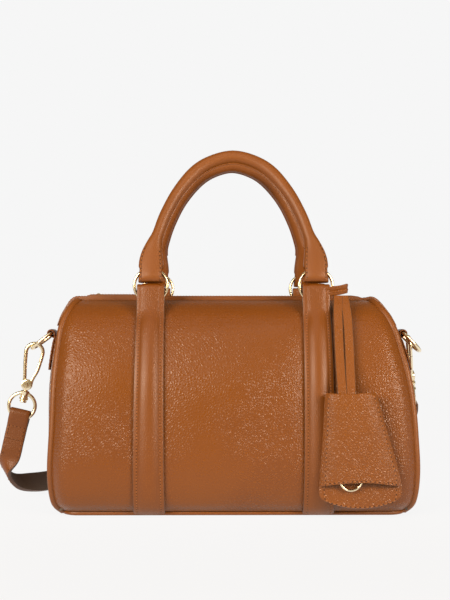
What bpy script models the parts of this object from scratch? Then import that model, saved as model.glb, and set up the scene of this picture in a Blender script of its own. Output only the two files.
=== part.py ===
"""A small barrel handbag with rolled top handles, a zip, a clip-on shoulder strap and a leather key bell.

Metres, +Z up, +X to the bag's right, the front faces -Y. The origin is the middle of the base's underside.
"""

import math

import bmesh
import bpy
from mathutils import Matrix, Vector

MM = 0.001

# Gap kept between pieces that touch
GAP = 0.3 * MM

# Body
BODY_HALF_LENGTH = 123.5 * MM
BODY_HALF_DEPTH = 69 * MM
BODY_TOP = 145 * MM
SHELL = 2.0 * MM
CORNER_RADIUS = 15 * MM
TOP_CORNER_RADIUS = 4 * MM
SHOULDER_DROP = 30 * MM
SLOUCH = 6 * MM
SLOUCH_FROM = 60 * MM
END_BULGE = 8 * MM
BASE_THICKNESS = 2.6 * MM
LINING_THICKNESS = 0.8 * MM
LINING_CLEARANCE = 1.1 * MM
BOARD_THICKNESS = 1.6 * MM
PIPING_RADIUS = 2.5 * MM

# Zip
BINDING_WIDTH = 10.5 * MM
BINDING_THICKNESS = 1.8 * MM
RIM_BESIDE_BINDING = 0.5 * MM
ZIP_HALF_WIDTH = 9 * MM
TAPE_THICKNESS = 1.2 * MM
TAPE_HINGE_INSET = 1.4 * MM
MOUTH_LEFT = -BODY_HALF_LENGTH + 56 * MM
MOUTH_RIGHT = BODY_HALF_LENGTH - 45 * MM
TOOTH_PITCH = 3.0 * MM
TOOTH_LENGTH = 2.2 * MM
SLIDER_START = -BODY_HALF_LENGTH + 27 * MM
SLIDER_LENGTH = 11 * MM
SLIDER_WIDTH = 8.4 * MM
PULLER_LENGTH = 21 * MM
PULLER_WIDTH = 5.6 * MM
PULLER_THICKNESS = 1.4 * MM
PULLER_LIFT = 2.1 * MM
EAR_THICKNESS = 0.7 * MM

TAPE_HEIGHT = BODY_TOP - 1.4 * MM
TAB_TOP = BODY_TOP - 19 * MM

# Straps sewn down the panels, their loops and the rings
WEB_SPACING = 112.4 * MM
WEB_WIDTH = 19.4 * MM
WEB_THICKNESS = 2.4 * MM
LOOP_WIDTH = 18.6 * MM
LOOP_LEATHER = 1.5 * MM
RING_OUTER = 24.7 * MM
RING_WIRE = 2.2 * MM
RING_Y = BODY_HALF_DEPTH - 24 * MM
RING_Z = BODY_TOP + 9 * MM
BEND_Y = BODY_HALF_DEPTH - 21.4 * MM
BEND_Z = BODY_TOP - 7.6 * MM

# Handles
HANDLE_HEIGHT = 250 * MM
HANDLE_LEAN = 16.0
GRIP_DIAMETER = 9.4 * MM
LEG_DIAMETER = 8.0 * MM
TAB_WIDTH = 16.8 * MM
TAB_THICKNESS = 9.4 * MM
TAB_DROP = 5.3 * MM

# The body's skin: how far in from the half depth, how high, how far in from the half length
LOWER_SKIN = ((13, 2.9, 5.5), (6, 10, 1.5), (0.8, 28, 0), (0, 52, 1))
# The same above the middle, with the height given as a drop below the top
UPPER_SKIN = ((3.5, 57, 3.2), (12, 28, 7.5), (19, 14.5, 11.5), (27, 6.7, 16), (38, 1.6, 19.5), (49, 0, 22))
SEAM_ANGLE = 65.0

# End tabs, D-rings and snap hooks
END_TAB_LENGTH = 31 * MM
END_TAB_WIDTH = 15 * MM
D_WIRE = 2.5 * MM
D_HALF_WIDTH = 10 * MM
D_REACH = 18 * MM
BAR_DROP = 5 * MM
BAR_STANDOFF = 2.5 * MM
LEFT_TILT = 37.0
RIGHT_TILT = 45.0
LEFT_HOOK_LEAN = 13.0
RIGHT_HOOK_LEAN = 17.0
RIGHT_HOOK_REACH = 10 * MM
RIGHT_HOOK_OUT = 6.0
HOOK_WIRE = 2.8 * MM
HOOK_WIDTH = 15 * MM
HOOK_LENGTH = 35.5 * MM
HOOK_CROWN = -2.43 * MM
NOSE_LENGTH = 6.2 * MM
KNUCKLE_RADIUS = 4 * MM
KNUCKLE_WIDTH = 5 * MM
STUD_RADIUS = 1.5 * MM
BOSS_RADIUS = 3.2 * MM
BOSS_LENGTH = 7 * MM
EYE_OUTER = 21.5 * MM
EYE_WIRE = 2.6 * MM

# Shoulder strap
STRAP_WIDTH = 14.6 * MM
STRAP_THICKNESS = 2.8 * MM
STRAP_LAYER = 1.4 * MM
STRAP_END_LENGTH = 22 * MM
STRAP_GAP = 0.8 * MM
STRAP_PASS = 17.5 * MM
STRAP_CLEARANCE = 12 * MM

# Key bell on the front right ring
HITCH_INNER = 5.95 * MM
HITCH_OUTER = 10.55 * MM
HITCH_DEPTH = 7.2 * MM
HITCH_LOW = RING_Z - 6.6 * MM
HITCH_HEIGHT = 6.4 * MM
LACE_X = WEB_SPACING / 2 + 16.8 * MM
LACE_WIDTH = 12.6 * MM
LACE_THICKNESS = 1.6 * MM
LACE_FOLD = 1.0 * MM
TONGUE_WIDTH = 5 * MM
BELL_TOP = 82.8 * MM
BELL_HEIGHT = 74.9 * MM
BELL_WIDTH = 53.8 * MM
BELL_BACK = BODY_HALF_DEPTH + 4.4 * MM
BELL_GAP = 5.0 * MM
BELL_Y = BELL_BACK + 4.7 * MM
LEAF_THICKNESS = 2.0 * MM
KEY_RING_OUTER = 16.2 * MM
KEY_RING_WIRE = 1.8 * MM
KEY_RING_TOP = BELL_TOP - BELL_HEIGHT + 27.5 * MM

# Colours, as linear RGB
TAN = (0.36, 0.135, 0.042, 1)
TAN_DARK = (0.25, 0.085, 0.026, 1)
SUEDE = (0.16, 0.115, 0.085, 1)
CLOTH = (0.30, 0.20, 0.12, 1)
GOLD = (0.80, 0.62, 0.34, 1)
BOARD = (0.10, 0.09, 0.08, 1)


def fresh_scene():
    """An empty scene with one collection for the bag and one for its cutters."""
    for thing in list(bpy.data.objects):
        bpy.data.objects.remove(thing, do_unlink=True)
    parts = bpy.data.collections.new("handbag")
    cutters = bpy.data.collections.new("cutters")
    cutters.hide_render = True
    bpy.context.scene.collection.children.link(parts)
    bpy.context.scene.collection.children.link(cutters)
    return parts, cutters


PARTS, CUTTERS = fresh_scene()


def finish(thing, name, colour, metallic=0.0, roughness=0.5):
    """Gives a piece its name, its material and smooth shading."""
    thing.name = name
    material = bpy.data.materials.new(name)
    material.use_nodes = True
    shader = material.node_tree.nodes["Principled BSDF"]
    shader.inputs["Base Color"].default_value = colour
    shader.inputs["Metallic"].default_value = metallic
    shader.inputs["Roughness"].default_value = roughness
    thing.data.materials.clear()
    thing.data.materials.append(material)
    if thing.type == "MESH":
        thing.data.shade_smooth()
        thing.data.set_sharp_from_angle(angle=math.radians(35))
    return thing


def leather(thing, name, colour=TAN):
    return finish(thing, name, colour, 0.0, 0.55)


def metal(thing, name):
    return finish(thing, name, GOLD, 1.0, 0.22)


def cutter(thing):
    """Moves an object to the cutters, drawn as wire and left out of a render."""
    for home in list(thing.users_collection):
        home.objects.unlink(thing)
    CUTTERS.objects.link(thing)
    thing.hide_render = True
    thing.display_type = "WIRE"
    return thing


def cut(thing, tool, operation="DIFFERENCE"):
    step = thing.modifiers.new("cut", "BOOLEAN")
    step.operation = operation
    step.solver = "EXACT"
    step.object = tool
    return thing


def object_from(bm, name="piece"):
    bmesh.ops.recalc_face_normals(bm, faces=bm.faces)
    mesh = bpy.data.meshes.new(name)
    bm.to_mesh(mesh)
    bm.free()
    thing = bpy.data.objects.new(name, mesh)
    PARTS.objects.link(thing)
    return thing


def smooth_line(points, steps=4):
    """A Catmull-Rom curve through the points, with this many steps between two of them."""
    vectors = [Vector(p) for p in points]
    line = []
    for i in range(len(vectors) - 1):
        before = vectors[max(i - 1, 0)]
        start, end = vectors[i], vectors[i + 1]
        after = vectors[min(i + 2, len(vectors) - 1)]
        for k in range(steps):
            t = k / steps
            a = 2 * start
            b = (end - before) * t
            c = (2 * before - 5 * start + 4 * end - after) * t * t
            d = (3 * start - before - 3 * end + after) * t ** 3
            line.append((a + b + c + d) / 2)
    line.append(vectors[-1])
    return line


def loft(rings, name="loft", closed_path=False):
    """A closed solid through rings of points that match one another."""
    bm = bmesh.new()
    rows = [[bm.verts.new(p) for p in ring] for ring in rings]
    count = len(rows[0])
    pairs = list(zip(rows, rows[1:]))
    if closed_path:
        pairs.append((rows[-1], rows[0]))
    for low, high in pairs:
        for i in range(count):
            j = (i + 1) % count
            bm.faces.new((low[i], low[j], high[j], high[i]))
    if not closed_path:
        bm.faces.new(rows[0])
        bm.faces.new(rows[-1])
    return object_from(bm, name)


def sheet(rows, thickness, offset=-1.0, name="sheet"):
    """An open grid of points given a thickness by Solidify; offset -1 thickens it inwards."""
    bm = bmesh.new()
    grid = [[bm.verts.new(p) for p in row] for row in rows]
    for low, high in zip(grid, grid[1:]):
        for i in range(len(low) - 1):
            bm.faces.new((low[i], low[i + 1], high[i + 1], high[i]))
    mesh = bpy.data.meshes.new(name)
    bm.to_mesh(mesh)
    bm.free()
    thing = bpy.data.objects.new(name, mesh)
    PARTS.objects.link(thing)
    wall = thing.modifiers.new("wall", "SOLIDIFY")
    wall.thickness = thickness
    wall.offset = offset
    wall.use_even_offset = True
    return thing


def tube(points, radius, sides=2, cyclic=False, name="tube"):
    """A round bar along the points, as a curve with a bevel and filled caps."""
    curve = bpy.data.curves.new(name, "CURVE")
    curve.dimensions = "3D"
    curve.bevel_depth = radius
    curve.bevel_resolution = sides
    curve.use_fill_caps = not cyclic
    spline = curve.splines.new("POLY")
    spline.points.add(len(points) - 1)
    for point, place in zip(spline.points, points):
        point.co = (*place, 1)
    spline.use_cyclic_u = cyclic
    thing = bpy.data.objects.new(name, curve)
    PARTS.objects.link(thing)
    return thing


def as_mesh(thing):
    """The same object as a mesh in place, with a curve's caps welded to its sides."""
    bpy.context.view_layer.update()
    graph = bpy.context.evaluated_depsgraph_get()
    mesh = bpy.data.meshes.new_from_object(thing.evaluated_get(graph))
    bm = bmesh.new()
    bm.from_mesh(mesh)
    bm.transform(thing.matrix_world)
    bmesh.ops.remove_doubles(bm, verts=bm.verts, dist=0.00001)
    bmesh.ops.recalc_face_normals(bm, faces=bm.faces)
    bm.to_mesh(mesh)
    bm.free()
    solid = bpy.data.objects.new(thing.name, mesh)
    for home in list(thing.users_collection):
        home.objects.link(solid)
    bpy.data.objects.remove(thing, do_unlink=True)
    return solid


TURN_TO_X = Matrix(((0, 0, 1, 0), (1, 0, 0, 0), (0, 1, 0, 0), (0, 0, 0, 1)))
TURN_TO_Y = Matrix(((1, 0, 0, 0), (0, 0, -1, 0), (0, 1, 0, 0), (0, 0, 0, 1)))


def plate(outlines, width, name="plate", turn=TURN_TO_X):
    """A flat outline of (y, z) loops extruded along X, or of (x, z) loops along Y; inner loops are holes."""
    curve = bpy.data.curves.new(name, "CURVE")
    curve.dimensions = "2D"
    curve.fill_mode = "BOTH"
    curve.extrude = width / 2
    for loop in outlines:
        spline = curve.splines.new("POLY")
        spline.points.add(len(loop) - 1)
        for point, (y, z) in zip(spline.points, loop):
            point.co = (y, z, 0, 1)
        spline.use_cyclic_u = True
    thing = bpy.data.objects.new(name, curve)
    PARTS.objects.link(thing)
    thing.matrix_world = turn
    return thing


def arc(centre, radius, start, end, steps):
    """Points (a, b) on a circle from one angle to another, in degrees."""
    found = []
    for k in range(steps + 1):
        angle = math.radians(start + (end - start) * k / steps)
        found.append((centre[0] + radius * math.cos(angle), centre[1] + radius * math.sin(angle)))
    return found


def ring_points(centre, radius, count, axis="Y"):
    found = []
    for k in range(count):
        a = 2 * math.pi * k / count
        flat = (radius * math.cos(a), radius * math.sin(a))
        turn = {"X": (0, *flat), "Y": (flat[0], 0, flat[1]), "Z": (*flat, 0)}[axis]
        found.append(Vector(centre) + Vector(turn))
    return found


def skin_levels(steps=2):
    """(half depth, height, half length) from the base to the edge beside the zip."""
    marks = []
    for inward, height, short in LOWER_SKIN:
        marks.append((BODY_HALF_DEPTH - inward * MM, height * MM, BODY_HALF_LENGTH - short * MM))
    # The rim follows the zip and its bindings, whatever the body's depth
    inmost = UPPER_SKIN[-1][0]
    reach = BODY_HALF_DEPTH - (ZIP_HALF_WIDTH + BINDING_WIDTH + RIM_BESIDE_BINDING)
    for inward, drop, short in UPPER_SKIN:
        marks.append((BODY_HALF_DEPTH - reach * inward / inmost, BODY_TOP - drop * MM, BODY_HALF_LENGTH - short * MM))
    return smooth_line(marks, steps)


SKIN = skin_levels()


def skin_at(height):
    """(half depth, half length) of the skin at a height."""
    for low, high in zip(SKIN, SKIN[1:]):
        if low[1] <= height <= high[1]:
            share = (height - low[1]) / (high[1] - low[1])
            return low[0] + (high[0] - low[0]) * share, low[2] + (high[2] - low[2]) * share
    return SKIN[-1][0], SKIN[-1][2]


def slouch(height):
    """How far the soft body leans along X at a height: its upper part sags to the left."""
    share = (height - SLOUCH_FROM) / (BODY_TOP - SLOUCH_FROM)
    return -SLOUCH * max(share, 0) ** 1.5


def leaned(line):
    """A line of (x, height) that follows the body's lean."""
    return [(x + slouch(z), z) for x, z in line]


def corner_radius(level):
    """The upright corner's radius, which tightens over the shoulder."""
    drop = BODY_TOP - level[1]
    return TOP_CORNER_RADIUS + (CORNER_RADIUS - TOP_CORNER_RADIUS) * min(drop / SHOULDER_DROP, 1)


def end_bulge(height, y, depth):
    """How far the end swells past the seam line at a height and a distance from the middle."""
    swell = math.sin(math.pi * height / (BODY_TOP + 15 * MM))
    return END_BULGE * swell * max(1 - (y / depth) ** 2, 0)


def around(level, distance, side, face, inset=0.0):
    """A point on the body's outline at one level, this far past the seam towards the end's middle."""
    depth, height, length = level
    radius = corner_radius(level)
    along = radius * math.radians(SEAM_ANGLE) + distance
    quarter = radius * math.pi / 2
    turn = min(max(along / radius, 0), math.pi / 2)
    x = length - radius + (radius - inset) * math.sin(turn) + min(along, 0)
    y = depth - radius + (radius - inset) * math.cos(turn) - max(along - quarter, 0)
    return Vector((side * x + slouch(height), face * y, height))


def seam_gap(index):
    """How far along the outline a panel's edge stays from the seam, so that the piping fits between."""
    low = around(SKIN[max(index - 1, 0)], 0, 1, 1)
    high = around(SKIN[min(index + 1, len(SKIN) - 1)], 0, 1, 1)
    turn = math.radians(SEAM_ANGLE)
    across = Vector((math.cos(turn), -math.sin(turn), 0))
    slant = across.cross((high - low).normalized()).length
    return (PIPING_RADIUS + 0.6 * MM) / max(slant, 0.5)


def main_panel(face, name):
    """Front or rear leather, from the base seam over the shoulder to the zip, between the two pipings."""
    rows = []
    for index, level in enumerate(SKIN):
        gap = seam_gap(index)
        reach = CORNER_RADIUS * math.radians(SEAM_ANGLE) - gap + 4 * MM
        steps = [gap + reach * k / 5 for k in range(6)]
        left = [around(level, -step, -1, face) for step in steps]
        right = [around(level, -step, 1, face) for step in reversed(steps)]
        span = [left[-1].lerp(right[0], k / 5) for k in range(1, 5)]
        rows.append(left + span + right)
    inward = -1.0 if face < 0 else 1.0
    return leather(sheet(rows, SHELL, inward, name), name)


def end_panel(side, name):
    """Leather end between the front and rear piping, narrowing to an arch under the zip's end."""
    rows = []
    for index, level in enumerate(SKIN[:-1]):
        gap = seam_gap(index)
        reach = CORNER_RADIUS * math.radians(90 - SEAM_ANGLE) + 6 * MM - gap
        steps = [gap + reach * k / 2 for k in range(3)]
        front = [around(level, step, side, -1) for step in steps]
        rear = [around(level, step, side, 1) for step in reversed(steps)]
        span = [front[-1].lerp(rear[0], k / 8) for k in range(1, 8)]
        row = front + span + rear
        for point in row[1:-1]:
            point.x += side * end_bulge(level[1], point.y, row[0].y)
        rows.append(row)
    inward = 1.0 if side < 0 else -1.0
    return leather(sheet(rows, SHELL, inward, name), name)


def piping(side, face, name):
    """A leather cord set between the panels, from the floor to the zip's binding."""
    levels = SKIN[:-4]
    points = [around(level, 0, side, face, 0.8 * MM) for level in levels]
    low = points[0].copy()
    low.z = PIPING_RADIUS
    points[0] = low
    return leather(tube(points, PIPING_RADIUS, 1, name=name), name, TAN_DARK)


def rounded_rectangle(half_length, half_depth, radius, height, steps=4):
    found = []
    for sx, sy, start in ((1, 1, 0), (-1, 1, 90), (-1, -1, 180), (1, -1, 270)):
        centre = (sx * (half_length - radius), sy * (half_depth - radius))
        found += [(x, y, height) for x, y in arc(centre, radius, start, start + 90, steps)]
    return found


def base_panel():
    depth, low, length = SKIN[0]
    half_length = length - 4.5 * MM
    half_depth = depth - 0.6 * MM
    rings = []
    for height, inward in ((0, 0.8), (0.8, 0), (1.8, 0), (BASE_THICKNESS / MM, 0.8)):
        inset = inward * MM
        rings.append(rounded_rectangle(half_length - inset, half_depth - inset, 12 * MM, height * MM))
    return leather(loft(rings, "base_panel"), "base_panel")


def base_board():
    depth, low, length = SKIN[0]
    inset = SHELL + 0.6 * MM
    rings = []
    for height in (low, low + BOARD_THICKNESS):
        rings.append(rounded_rectangle(length - inset, depth - inset, 12 * MM, height))
    return finish(loft(rings, "base_board"), "base_board", BOARD, 0.0, 0.8)


def lining():
    """The cloth bag inside, open at the top, standing on the board and lying against the panels."""
    floor = SKIN[0][1] + BOARD_THICKNESS + GAP + LINING_THICKNESS
    inset = SHELL + LINING_CLEARANCE + LINING_THICKNESS
    rim = BODY_TOP - 20 * MM
    heights = [floor, floor + 7 * MM, 30 * MM, 55 * MM, BODY_TOP - 57 * MM, BODY_TOP - 34 * MM, rim]
    bm = bmesh.new()
    rows = []
    for height in heights:
        depth, length = skin_at(height)
        lean = (skin_at(height + MM)[0] - skin_at(height - MM)[0]) / (2 * MM)
        inward = inset * math.hypot(1, lean) + LINING_CLEARANCE
        loop = rounded_rectangle(length - inward, depth - inward, CORNER_RADIUS - inset, height, 3)
        rows.append([bm.verts.new((x + slouch(z), y, z)) for x, y, z in loop])
    count = len(rows[0])
    bm.faces.new(list(reversed(rows[0])))
    for low, high in zip(rows, rows[1:]):
        for i in range(count):
            j = (i + 1) % count
            bm.faces.new((low[i], low[j], high[j], high[i]))
    thing = object_from(bm, "lining")
    wall = thing.modifiers.new("wall", "SOLIDIFY")
    wall.thickness = LINING_THICKNESS
    wall.offset = 1.0
    return finish(thing, "lining", CLOTH, 0.0, 0.85)


def make_body():
    main_panel(-1, "front_panel")
    main_panel(1, "rear_panel")
    end_panel(-1, "left_end_panel")
    end_panel(1, "right_end_panel")
    for side, side_name in ((-1, "left"), (1, "right")):
        for face, face_name in ((-1, "front"), (1, "rear")):
            piping(side, face, f"{side_name}_{face_name}_piping")
    base_panel()
    base_board()
    lining()


def end_line(y, low):
    """(x, height) down the end from the top, at a distance from the middle, as far as a height."""
    line = []
    for depth, height, length in reversed(SKIN[:-1]):
        if height > low:
            line.append((length + end_bulge(height, y, depth), height))
    depth, length = skin_at(low)
    line.append((length + end_bulge(low, y, depth), low))
    return line


def lifted(line, by):
    """The line moved off the skin by a distance, outwards and up."""
    moved = []
    for i, (x, z) in enumerate(line):
        before = line[max(i - 1, 0)]
        after = line[min(i + 1, len(line) - 1)]
        run = Vector((after[0] - before[0], after[1] - before[1])).normalized()
        moved.append((x - run.y * by, z + run.x * by))
    return moved


def over_the_top(y, low, rise, flat):
    """(x, height) over the whole bag: up the left end, flat along the zip, down the right end."""
    right = lifted(end_line(y, low), rise)
    start = SKIN[-1][2] - 4 * MM
    right = [(start, flat)] + right
    return [(-x, z) for x, z in reversed(right)] + right


def band(line, near, far, thickness, name):
    """A strip lying on a line of (x, height), between two distances from the middle."""
    rings = []
    top = lifted(line, thickness)
    for (x, z), (top_x, top_z) in zip(line, top):
        rings.append([(x, near, z), (x, far, z), (top_x, far, top_z), (top_x, near, top_z)])
    return loft(rings, name)


def zip_binding(face, name):
    """A leather band beside the zip, which follows it down both ends to the end tabs."""
    near = face * ZIP_HALF_WIDTH
    far = face * (ZIP_HALF_WIDTH + BINDING_WIDTH)
    line = leaned(over_the_top(ZIP_HALF_WIDTH, TAB_TOP + GAP, 0.9 * MM, BODY_TOP - 2.2 * MM))
    return leather(band(line, near, far, BINDING_THICKNESS, name), name, TAN_DARK)


def zip_half(face, name):
    """One half of the zip over the mouth: its tape with a row of metal teeth along the inner edge."""
    hinge = ZIP_HALF_WIDTH - TAPE_HINGE_INSET
    near = GAP / 2 + TOOTH_LENGTH * 0.6
    low = TAPE_HEIGHT - TAPE_THICKNESS / 2
    high = TAPE_HEIGHT + TAPE_THICKNESS / 2
    outline = [(near, low), (near, high), (hinge, high)]
    outline += arc((hinge, TAPE_HEIGHT), TAPE_THICKNESS / 2, 60, -60, 2)
    outline += [(hinge, low)]
    rings = [[(x, face * y, z) for y, z in outline] for x in (MOUTH_LEFT, MOUTH_RIGHT)]
    tape = loft(rings, name)
    comb = teeth_row(MOUTH_LEFT, MOUTH_RIGHT, face, TAPE_HEIGHT, near)
    return finish(cut(tape, cutter(comb), "UNION"), name, CLOTH, 0.0, 0.8)


def teeth_row(start, end, face, height, near):
    """A comb of zip teeth, a little thicker than the tape they are clamped on."""
    count = int((end - start - TOOTH_PITCH) / TOOTH_PITCH)
    first = (start + end - (count - 1) * TOOTH_PITCH) / 2
    half_tooth = TOOTH_PITCH * 0.27
    root = near + 0.8 * MM
    outline = [(start + 0.3 * MM, root), (start + 0.3 * MM, near + 0.3 * MM)]
    for k in range(count):
        middle = first + k * TOOTH_PITCH
        outline += [(middle - half_tooth, near + 0.3 * MM), (middle - half_tooth, GAP / 2)]
        outline += [(middle + half_tooth, GAP / 2), (middle + half_tooth, near + 0.3 * MM)]
    outline += [(end - 0.3 * MM, near + 0.3 * MM), (end - 0.3 * MM, root)]
    half_height = TAPE_THICKNESS / 2 + 0.25 * MM
    bm = bmesh.new()
    low = [bm.verts.new((x, face * y, height - half_height)) for x, y in outline]
    high = [bm.verts.new((x, face * y, height + half_height)) for x, y in outline]
    bm.faces.new(low)
    bm.faces.new(high)
    for i in range(len(outline)):
        j = (i + 1) % len(outline)
        bm.faces.new((low[i], low[j], high[j], high[i]))
    return object_from(bm, "teeth")


def zip_end(side, name):
    """The closed zip beyond the mouth: along the top, over the corner and down to the end tab."""
    mouth = MOUTH_RIGHT if side > 0 else -MOUTH_LEFT
    flat = TAPE_HEIGHT - TAPE_THICKNESS / 2
    whole = over_the_top(0, TAB_TOP + GAP, 0.6 * MM, flat)
    line = [(side * (mouth + 0.5 * MM), flat)]
    line += leaned([(side * x, z) for x, z in whole[len(whole) // 2:]])
    if side < 0:
        line.reverse()
    width = ZIP_HALF_WIDTH - 0.4 * MM
    rings = []
    top = lifted(line, TAPE_THICKNESS)
    ridge = lifted(line, TAPE_THICKNESS + 0.3 * MM)
    for (x, z), (top_x, top_z), (ridge_x, ridge_z) in zip(line, top, ridge):
        ring = [(x, -width, z), (x, width, z), (top_x, width, top_z), (top_x, TOOTH_LENGTH, top_z)]
        ring += [(ridge_x, TOOTH_LENGTH, ridge_z), (ridge_x, -TOOTH_LENGTH, ridge_z)]
        ring += [(top_x, -TOOTH_LENGTH, top_z), (top_x, -width, top_z)]
        rings.append(ring)
    return finish(loft(rings, name), name, CLOTH, 0.0, 0.8)


def make_zip():
    zip_binding(-1, "front_zip_binding")
    zip_binding(1, "rear_zip_binding")
    zip_half(-1, "front_zip_half")
    zip_half(1, "rear_zip_half")
    zip_end(-1, "left_zip_end")
    zip_end(1, "right_zip_end")


def web_line():
    """(y, z) of a panel's outer face, from just above the base seam to the bend of the loops."""
    return [(depth, height) for depth, height, length in SKIN if 4.5 * MM < height < BEND_Z - 6 * MM]


def offset_line(line, by):
    """A line of (y, z) moved outwards from the body by a distance."""
    moved = []
    for i, (y, z) in enumerate(line):
        before = line[max(i - 1, 0)]
        after = line[min(i + 1, len(line) - 1)]
        run = Vector((after[0] - before[0], after[1] - before[1])).normalized()
        moved.append((y + run.y * by, z - run.x * by))
    return moved


def strap_web(side, face, name):
    """A padded leather strap sewn down a panel, from the base seam to the bend under its loop."""
    line = offset_line(web_line(), GAP)
    tip = (BEND_Y + LOOP_LEATHER, BEND_Z - LOOP_LEATHER - 0.45 * MM)
    line.append(tip)
    outer = offset_line(line, WEB_THICKNESS)
    crown = offset_line(line, WEB_THICKNESS + 0.9 * MM)
    rings = []
    half = WEB_WIDTH / 2
    middle = side * WEB_SPACING / 2
    for low, rim, top in zip(line, outer, crown):
        shares = ((-1, rim), (-0.72, rim), (-0.4, top), (0.4, top), (0.72, rim), (1, rim))
        ring = [(middle + half * x, face * y, z) for x, (y, z) in shares]
        ring += [(middle + half, face * low[0], low[1]), (middle - half, face * low[0], low[1])]
        rings.append(ring)
    return leather(loft(rings, name), name)


def strap_loop(side, face, name):
    """The strap's free end, folded over the ring's lower arc and sewn to itself below."""
    wire = RING_WIRE / 2
    slot = wire + 0.5 * MM
    outer = slot + LOOP_LEATHER
    ring_low = RING_Z - (RING_OUTER - RING_WIRE) / 2
    crown = RING_Z + 1.2 * MM - outer
    outline = arc((BEND_Y, BEND_Z), LOOP_LEATHER, 200, 340, 4)
    outline += [(RING_Y + outer, ring_low - 1.0 * MM)]
    outline += arc((RING_Y, crown), outer, 0, 180, 6)
    outline += [(RING_Y - outer, ring_low - 0.6 * MM), (RING_Y - outer * 0.5, ring_low - 2.4 * MM)]
    hole = arc((RING_Y, crown), slot, 0, 180, 6)
    hole += [(RING_Y - slot, ring_low - 0.4 * MM), (RING_Y, ring_low - 1.8 * MM), (RING_Y + slot, ring_low - 0.4 * MM)]
    thing = plate([[(face * y, z) for y, z in loop] for loop in (outline, hole)], LOOP_WIDTH, name)
    thing.location.x = side * WEB_SPACING / 2
    thing = as_mesh(thing)
    if (side, face) == (1, -1):
        near = WEB_SPACING / 2 + (RING_OUTER - RING_WIRE) / 2 - HITCH_INNER - GAP
        low = HITCH_LOW - GAP
        notch = [(near, low), (near + 9 * MM, low), (near + 9 * MM, low + 20 * MM), (near, low + 20 * MM)]
        squeeze = as_mesh(plate([notch], 12 * MM, "notch", TURN_TO_Y))
        squeeze.location.y = -RING_Y
        cut(thing, cutter(squeeze))
    return leather(thing, name)


def o_ring(side, face, name):
    middle = (side * WEB_SPACING / 2, face * RING_Y, RING_Z)
    radius = (RING_OUTER - RING_WIRE) / 2
    return metal(tube(ring_points(middle, radius, 24), RING_WIRE / 2, 1, True, name), name)


def handle_pivot():
    """Where a tab turns on its ring: as high as the ring's wire at the tab's two edges."""
    radius = (RING_OUTER - RING_WIRE) / 2
    return RING_Z + math.sqrt(radius ** 2 - (TAB_WIDTH / 2) ** 2)


def handle_route():
    """(x, height along the lean, width, thickness) up the right leg to the top of the handle."""
    top = (HANDLE_HEIGHT - handle_pivot()) / math.cos(math.radians(HANDLE_LEAN)) - GRIP_DIAMETER / 2
    foot = WEB_SPACING / 2
    tab = (TAB_WIDTH, TAB_THICKNESS)
    leg = (LEG_DIAMETER, LEG_DIAMETER)
    grip = (GRIP_DIAMETER, GRIP_DIAMETER)
    return [
        (foot, -TAB_DROP, tab[0], tab[1] * 0.55),
        (foot, -TAB_DROP * 0.7, tab[0], tab[1] * 0.86),
        (foot, 0, tab[0], tab[1]),
        (foot, top * 0.10, tab[0] * 0.98, tab[1] * 0.92),
        (foot - 0.6 * MM, top * 0.18, tab[0] * 0.84, tab[1] * 0.84),
        (foot - 2.0 * MM, top * 0.26, leg[0] * 1.3, leg[1]),
        (foot - 4.4 * MM, top * 0.34, leg[0], leg[1]),
        (foot - 9.2 * MM, top * 0.50, leg[0], leg[1]),
        (foot - 17.5 * MM, top * 0.69, leg[0] * 1.05, leg[1] * 1.05),
        (foot - 29 * MM, top * 0.86, grip[0], grip[1]),
        (foot - 41 * MM, top * 0.955, grip[0], grip[1]),
        (0, top, grip[0], grip[1]),
    ]


def handle(face, name):
    """A rolled handle: round over the top, flattening into folded tabs that hold the two rings."""
    right = handle_route()
    route = [Vector(mark) for mark in right]
    left = [Vector((-mark.x, mark.y, mark.z, mark.w)) for mark in reversed(route[:-1])]
    marks = smooth_line(route + left, 2)
    rings = []
    sides = 12
    for i, mark in enumerate(marks):
        before = marks[max(i - 1, 0)]
        after = marks[min(i + 1, len(marks) - 1)]
        run = Vector((after.x - before.x, after.y - before.y)).normalized()
        flatness = min(max((mark.z - mark.w) / TAB_WIDTH * 2, 0), 1)
        power = 1 - 0.45 * flatness
        ring = []
        for k in range(sides):
            turn = 2 * math.pi * (k + 0.5) / sides
            a = math.copysign(abs(math.cos(turn)) ** power, math.cos(turn)) * mark.z / 2
            b = math.copysign(abs(math.sin(turn)) ** power, math.sin(turn)) * mark.w / 2
            ring.append((mark.x + run.y * a, b, mark.y - run.x * a))
        rings.append(ring)
    thing = loft(rings, name)
    slot = TAB_THICKNESS / 2 - LOOP_LEATHER
    reach = (RING_OUTER / 2) - (handle_pivot() - RING_Z) + 0.8 * MM
    floor = TAB_DROP - LOOP_LEATHER
    outline = [(-slot * 0.45, -floor), (slot * 0.45, -floor), (slot, -floor * 0.4)]
    outline += [(slot, reach * 0.6), (slot * 0.7, reach), (-slot * 0.7, reach)]
    outline += [(-slot, reach * 0.6), (-slot, -floor * 0.4)]
    thing.rotation_euler.x = math.radians(HANDLE_LEAN) * face
    thing.location = (0, face * RING_Y, handle_pivot())
    for side in (-1, 1):
        tool = as_mesh(plate([outline], TAB_WIDTH * 1.4, f"{name}_slot"))
        tool.parent = thing
        tool.location.x += side * WEB_SPACING / 2
        cut(thing, cutter(tool))
    return leather(thing, name)


def make_carry():
    for face, face_name in ((-1, "front"), (1, "rear")):
        for side, side_name in ((-1, "left"), (1, "right")):
            strap_web(side, face, f"{face_name}_{side_name}_strap")
            strap_loop(side, face, f"{face_name}_{side_name}_strap_loop")
            o_ring(side, face, f"{face_name}_{side_name}_ring")
        handle(face, f"{face_name}_handle")


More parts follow.
